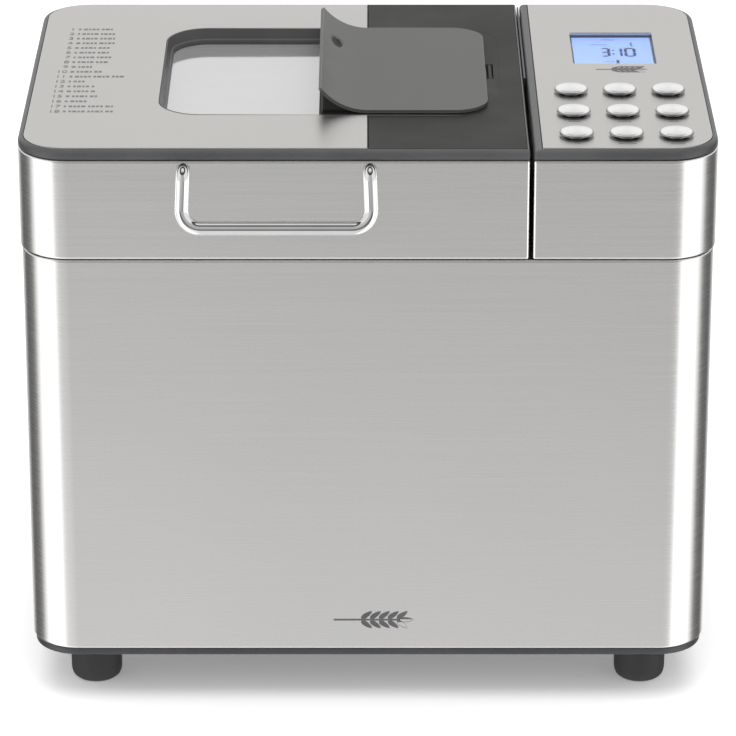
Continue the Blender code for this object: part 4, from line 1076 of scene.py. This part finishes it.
def oven():
    lip, inner = OVEN.inset(-5 * MM), OVEN.inset(1.2 * MM)
    floor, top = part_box("oven_chamber")[0].z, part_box("oven_chamber")[1].z
    inside = floor + 1.2 * MM
    profile = [(OVEN.inset(6 * MM), floor), (OVEN.inset(1.5 * MM), floor + 1.4 * MM), (OVEN, floor + 6 * MM),
               (OVEN, top - 1.0 * MM)]
    profile += [(lip, top - 1.0 * MM), (lip.inset(-0.05 * MM), top - 0.5 * MM),
                (lip.inset(0.3 * MM), top - 0.05 * MM), (OVEN.inset(-1.5 * MM), top)]
    profile += [(OVEN.inset(-0.2 * MM), top - 0.3 * MM), (OVEN.inset(0.8 * MM), top - 1.2 * MM),
                (inner, top - 2.6 * MM)]
    profile += [(inner, inside + 7 * MM)] + quarter(inner, 7 * MM, inside, 6)
    walls("oven_liner_box", profile, LINER, "housing", closed=False, stands_for=["oven_chamber"],
          slot="aluminium", sharp=60)
    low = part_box("pan_socket")[0].z
    x, y, _ = centre("pan_socket")
    ring = over(low, (18.5, 0.0), (18.5, 1.5), (35.6, 1.5), (36.3, 2.0), (36.5, 2.6), (36.5, 11.2),
                (37.0, 11.8), (38.2, 12.0), (39.5, 11.8), (40.0, 11.2), (40.0, 2.2), (42.0, 1.6), (43.0, 0.6),
                (43.0, 0.0))
    lathe("pan_seat", ring, x, y, CAST, "housing", steps=72, closed=True, stands_for=["pan_socket"],
          slot="cast_alloy")
    head = over(low, (0.0, 1.4), (3.0, 1.4), (3.0, 1.55), (0.0, 1.6))
    for k in range(4):
        a = radians(45 + 90 * k)
        cx, cy = x + 28 * MM * cos(a), y + 28 * MM * sin(a)
        lathe(f"seat_screw_{k + 1}", head, cx, cy, SHAFT, "housing", steps=24)
    z = 0.088  # the heater's height
    x0, x1 = OVEN.x0 + 12 * MM, OVEN.x1 - 12 * MM
    y0, y1 = OVEN.y0 + 15 * MM, OVEN.y1 - 15 * MM
    mid = (OVEN.y0 + OVEN.y1) / 2
    out = OVEN.x1 + 12 * MM
    route = [(out, mid - 0.015), (x1, mid - 0.015), (x1, y0), (x0, y0), (x0, y1), (x1, y1), (x1, mid + 0.015),
             (out, mid + 0.015)]
    rod("heater_tube", [(a, b, z) for a, b in route], 3.3 * MM, 9.5 * MM, HEATER, "housing", sides=20,
        stands_for=["heating_element"], slot="heater_sheath")
    for k, (cx, cy) in enumerate(((x0, mid), (OVEN.x0 + 60 * MM, y0), (OVEN.x0 + 60 * MM, y1)), 1):
        across = abs(cx - x0) < 1e-9
        w, d = (6.5, 3.0) if across else (3.0, 6.5)
        for part, w, d, z0, z1 in (("clip", w, d, z + 3.2 * MM, z + 4.4 * MM),
                                   ("leg", 1.2, 1.2, inside, z - 3.2 * MM)):
            sides = (cx - w * MM, cx + w * MM), (cy - d * MM, cy + d * MM), (z0, z1)
            block(f"heater_{part}_{k}", *sides, SHAFT, "housing", 0.3 * MM)


def pan():
    foot = PAN.inset(5 * MM)
    low, top = 0.085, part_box("bread_pan")[1].z  # the underside of the pan's floor, and its rim
    roll = 1.5 * MM
    profile = [(foot.inset(8 * MM), low)]
    for k in range(1, 7):
        a = pi / 2 * k / 6
        profile.append((foot.inset(6 * MM * (1 - sin(a))), low + 6 * MM * (1 - cos(a))))
    profile += [(PAN.inset(0.1 * MM), top - 4 * MM)]
    inner, inner_foot = PAN.inset(1.5 * MM), foot.inset(1.5 * MM)
    for k in range(10):
        a = radians(-70 + 25 * k)
        profile.append((PAN.inset(-1.5 * MM - roll * cos(a)), top - roll + roll * sin(a)))
    profile += [(inner, top - 4 * MM), (inner_foot, low + 9 * MM)]
    profile += quarter(inner_foot, 7.5 * MM, low + 1.5 * MM, 7)
    walls("pan_shell", profile, NONSTICK, "pan", closed=False, stands_for=["bread_pan"], slot="nonstick",
          sharp=60)
    x, y = (PAN.x0 + PAN.x1) / 2, (PAN.y0 + PAN.y1) / 2
    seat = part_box("bread_pan")[0].z
    ring = [(31.5 * MM, seat), (31.5 * MM, low + 0.4 * MM), (36.0 * MM, low + 0.4 * MM),
            (36.0 * MM, seat + 0.4 * MM), (35.6 * MM, seat)]
    lathe("pan_foot", ring, x, y, CAST, "pan", steps=64, closed=True)
    hub = over(low, (4.4, 1.2), (4.4, 2.9), (6.0, 2.9), (7.4, 2.5), (8.2, 1.9), (8.4, 1.2))
    lathe("pan_gland", hub, x, y, SHAFT, "pan", closed=True)
    rod_z = centre("bail_handle")[2]
    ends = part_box("bail_handle")
    leg, tip, reach = (ends[1].x - ends[0].x) / 2 - 2.3 * MM, 94.5 * MM, 68 * MM
    route = [(-tip, 0), (-leg, 0), (-leg, -reach), (leg, -reach), (leg, 0), (tip, 0)]
    rod("bail_wire", [(x + a, y + b, rod_z) for a, b in route], 2.3 * MM, 4.5 * MM, CHROME, "bail",
        stands_for=["bail_handle"], slot="chrome")
    boss = shares((2.8, 0.0), (5.6, 0.0), (6.2, 0.3), (6.2, 0.7), (5.6, 1.0), (2.8, 1.0))
    for side in (-1, 1):
        a, b = sorted((x + side * (96.0 * MM), x + side * (99.8 * MM)))
        turned_between(f"bail_boss_{'left' if side < 0 else 'right'}", (a, y, rod_z), (b, y, rod_z),
                       boss, CAST, "pan", closed=True)


def lid_inside():
    low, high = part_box("lid_liner")
    flange = outline_of("lid_liner", (24.2 * MM, 1.2 * MM, 1.2 * MM, 24.2 * MM))
    recess = OVEN.inset(3 * MM)
    shell = recess.inset(-1.2 * MM)
    ceiling = high.z - 1.2 * MM
    base = low.z
    profile = [(flange, base + 1.2 * MM), (flange.inset(-0.05 * MM), base + 0.6 * MM),
               (flange.inset(0.4 * MM), base + 0.05 * MM)]
    profile += [(recess.inset(by), z) for by, z in over(base, (-2.6, 0.0), (-1.2, 0.4), (-0.2, 1.4))]
    profile += [(recess, base + 2.8 * MM), (recess, ceiling - 5 * MM)] + quarter(recess, 5 * MM, ceiling, 5,
                                                                                 up=-1)
    # The ceiling's openings, for the window and for what the dispenser drops
    view = Outline(-0.104, -0.0275, -0.061, 0.076, 15 * MM)
    drop = Outline(-0.0195, 0.0470, -0.0430, 0.0580, 2 * MM)
    outer = [(recess.inset(5 * MM), high.z), (shell, high.z - 4 * MM), (shell, low.z + 1.2 * MM)]
    walls("liner_pressing", profile + outer, LINER, "lid", stands_for=["lid_liner"], slot="aluminium",
          sharp=60)
    edge = recess.inset(4.6 * MM)
    flat("liner_ceiling", [edge.points(), view.points(), drop.points()], ceiling, high.z - 0.02 * MM,
         0.3 * MM, LINER, "lid")
    middle = centre("lid_seal")[2]
    turns = [2 * pi * k / 12 for k in range(12)]
    bead = [(2 * MM + 2 * MM * cos(a), middle + 0.65 * MM * sin(a)) for a in turns]
    walls("seal_bead", bead, SEAL, "lid", outline_of("lid_seal", 23.5 * MM), stands_for=["lid_seal"],
          slot="silicone", sharp=80)


def hinges():
    head = shares((0.1, 0.0), (2.8, 0.0), (2.7, 0.4), (1.6, 0.95), (0.1, 1.0))
    for side in ("left", "right"):
        low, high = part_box(f"hinge_bracket_{side}")
        x = centre(f"hinge_bracket_{side}")[0]
        z = high.z - 4.8 * MM
        for k, dz in enumerate((-14 * MM, -26 * MM)):
            for dx in (-11 * MM, 11 * MM):
                name = f"hinge_screw_{side}_{k}{'l' if dx < 0 else 'r'}"
                start, end = [(x + dx, low.y + reach * MM, z + dz) for reach in (2.4, 3.6)]
                turned_between(name, start, end, head, SHAFT, "housing", steps=24)


def carried_nodes():
    """Gives each CAD node that stays its own finish, and softens its edges."""
    looks = (
        (FLOOR_TRIM, "top_deck hinge_bracket_left hinge_bracket_right lid_hinge_left lid_hinge_right"),
        (SHAFT, "temperature_sensor hinge_pin_left hinge_pin_right main_shaft motor_rotor paddle_shaft"),
        (CAST, "bearing_housing motor_stator drive_coupling motor_pulley dispenser_actuator"),
        (BOARD, "power_board control_board"), (REAR_PAINT, "rear_panel"), (BELT, "drive_belt"),
        (STEEL, "motor_bracket"), (LINER, "capacitor"), (PANEL, "large_pulley"),
        (NONSTICK, "kneading_paddle"), (TRAY_BLACK, "dispenser_door"),
    )
    for name, look in [(name, look) for look, names in looks for name in names.split()]:
        node = frame["nodes"][name]
        node.data.materials.clear()
        node.data.materials.append(look)
        for polygon in node.data.polygons:
            polygon.use_smooth = True
        node.data.set_sharp_from_angle(angle=radians(35))
        soften(node, 0.25 * MM, 2, 50).harden_normals = True


# --- Studio ---


def studio():
    scene = bpy.context.scene
    scene.view_settings.view_transform = "Standard"
    scene.view_settings.look = "None"
    bm = bmesh.new()
    bmesh.ops.create_grid(bm, x_segments=8, y_segments=8, size=6.0)
    mesh = bpy.data.meshes.new("floor")
    bm.to_mesh(mesh)
    bm.free()
    floor = bpy.data.objects.new("floor", mesh)
    scene.collection.objects.link(floor)
    m = Look("floor_white", (0.93, 0.93, 0.93), 0.75, emission_color=(1.0, 1.0, 1.0, 1.0),
             emission_strength=0.20)
    cloud = m.grain(3, 2.0, 0.5)
    m.to(m.colours(cloud, (0.925, 0.925, 0.925), (0.94, 0.94, 0.94)), "Base Color")
    mesh.materials.append(m.made)
    floor.visible_glossy = False

    world = bpy.data.worlds.new("studio")
    scene.world = world
    world.use_nodes = True
    world.node_tree.nodes.clear()
    t = Tree(world.node_tree)

    def greys(value, *stops):
        return t.ramp(value, *[(place, (grey,) * 3) for place, grey in stops])

    def even(grey):
        return (grey, grey, grey, 1)

    parts = t.add("SeparateXYZ")
    t.link(t.add("TexCoord").outputs["Generated"], parts.inputs[0])
    x, y, z = parts.outputs
    # 0 straight in front of the machine, 1 straight behind it
    turn = t.math("DIVIDE", t.math("ARCTAN2", t.math("ABSOLUTE", x), t.math("MULTIPLY", y, -1.0)), pi)
    # 0 straight down, 0.5 level, 1 straight up, and the same from left to right
    rise = t.math("MULTIPLY_ADD", z, 0.5, 0.5)
    side = t.math("MULTIPLY_ADD", x, 0.5, 0.5)
    # What the machine mirrors. In front: a lit floor, a dark strip at eye height, a pale wall. At the front
    # corners white cards, beside and behind them dark flags, and a pale wall behind; above the horizon
    # these fade into an even grey. Overhead, a dark ring.
    ahead = greys(rise, (0.0, 1.0), (0.29, 1.0), (0.31, 0.82), (0.34, 0.46), (0.39, 0.30), (0.46, 0.22),
                  (0.48, 0.16), (0.53, 0.16), (0.57, 0.60), (1.0, 0.60))
    ahead = t.mix(1.0, ahead, greys(side, (0.0, 1.0), (0.40, 1.0), (0.50, 0.80), (1.0, 0.80)), "MULTIPLY")
    aside = greys(turn, (0.0, 0.0), (0.175, 0.0), (0.215, 1.0))
    cards = greys(turn, (0.0, 1.0), (0.42, 1.0), (0.50, 0.60), (0.56, 0.10), (0.76, 0.06), (0.86, 0.52),
                  (1.0, 0.56))
    cards = t.mix(greys(rise, (0.50, 0.0), (0.58, 1.0)), cards, even(0.55))
    mirrored = t.mix(aside, ahead, t.mix(1.0, cards, even(1.65), "MULTIPLY"))
    ring = greys(rise, (0.88, 0.0), (0.905, 1.0), (0.96, 1.0), (0.985, 0.0))
    mirrored = t.mix(ring, mirrored, even(0.06))
    chosen = t.mix(t.add("LightPath").outputs["Is Glossy Ray"], even(1.0), mirrored)
    sky = t.add("Background", Strength=1.0, Color=chosen)
    t.link(sky.outputs[0], t.add("OutputWorld").inputs[0])

    light = bpy.data.lights.new("overhead", "AREA")
    light.shape = "RECTANGLE"
    light.size = light.size_y = 1.8
    light.energy = 22
    obj = bpy.data.objects.new("overhead", light)
    obj.location = (0.0, -0.2, 1.9)
    obj.rotation_euler = (Vector((0.0, 0.0, 0.1)) - obj.location).to_track_quat("-Z", "Y").to_euler()
    scene.collection.objects.link(obj)
    obj.visible_glossy = False


def camera():
    data = bpy.data.cameras.new("camera")
    data.sensor_width = 36.0
    data.lens = 219.6
    data.clip_start, data.clip_end = 0.05, 50.0
    obj = bpy.data.objects.new("camera", data)
    obj.location = (0.0, FRONT - 2.1575, 1.0642)
    obj.rotation_euler = (radians(90 - 22.015), 0.0, 0.0)
    bpy.context.scene.collection.objects.link(obj)
    bpy.context.scene.camera = obj


body_shell()
feet()
gland()
lid_top()
window_pane()
handle()
cover()
tray()
control_top()
buttons()
display()
marks()
oven()
pan()
lid_inside()
hinges()
carried_nodes()
studio()
camera()
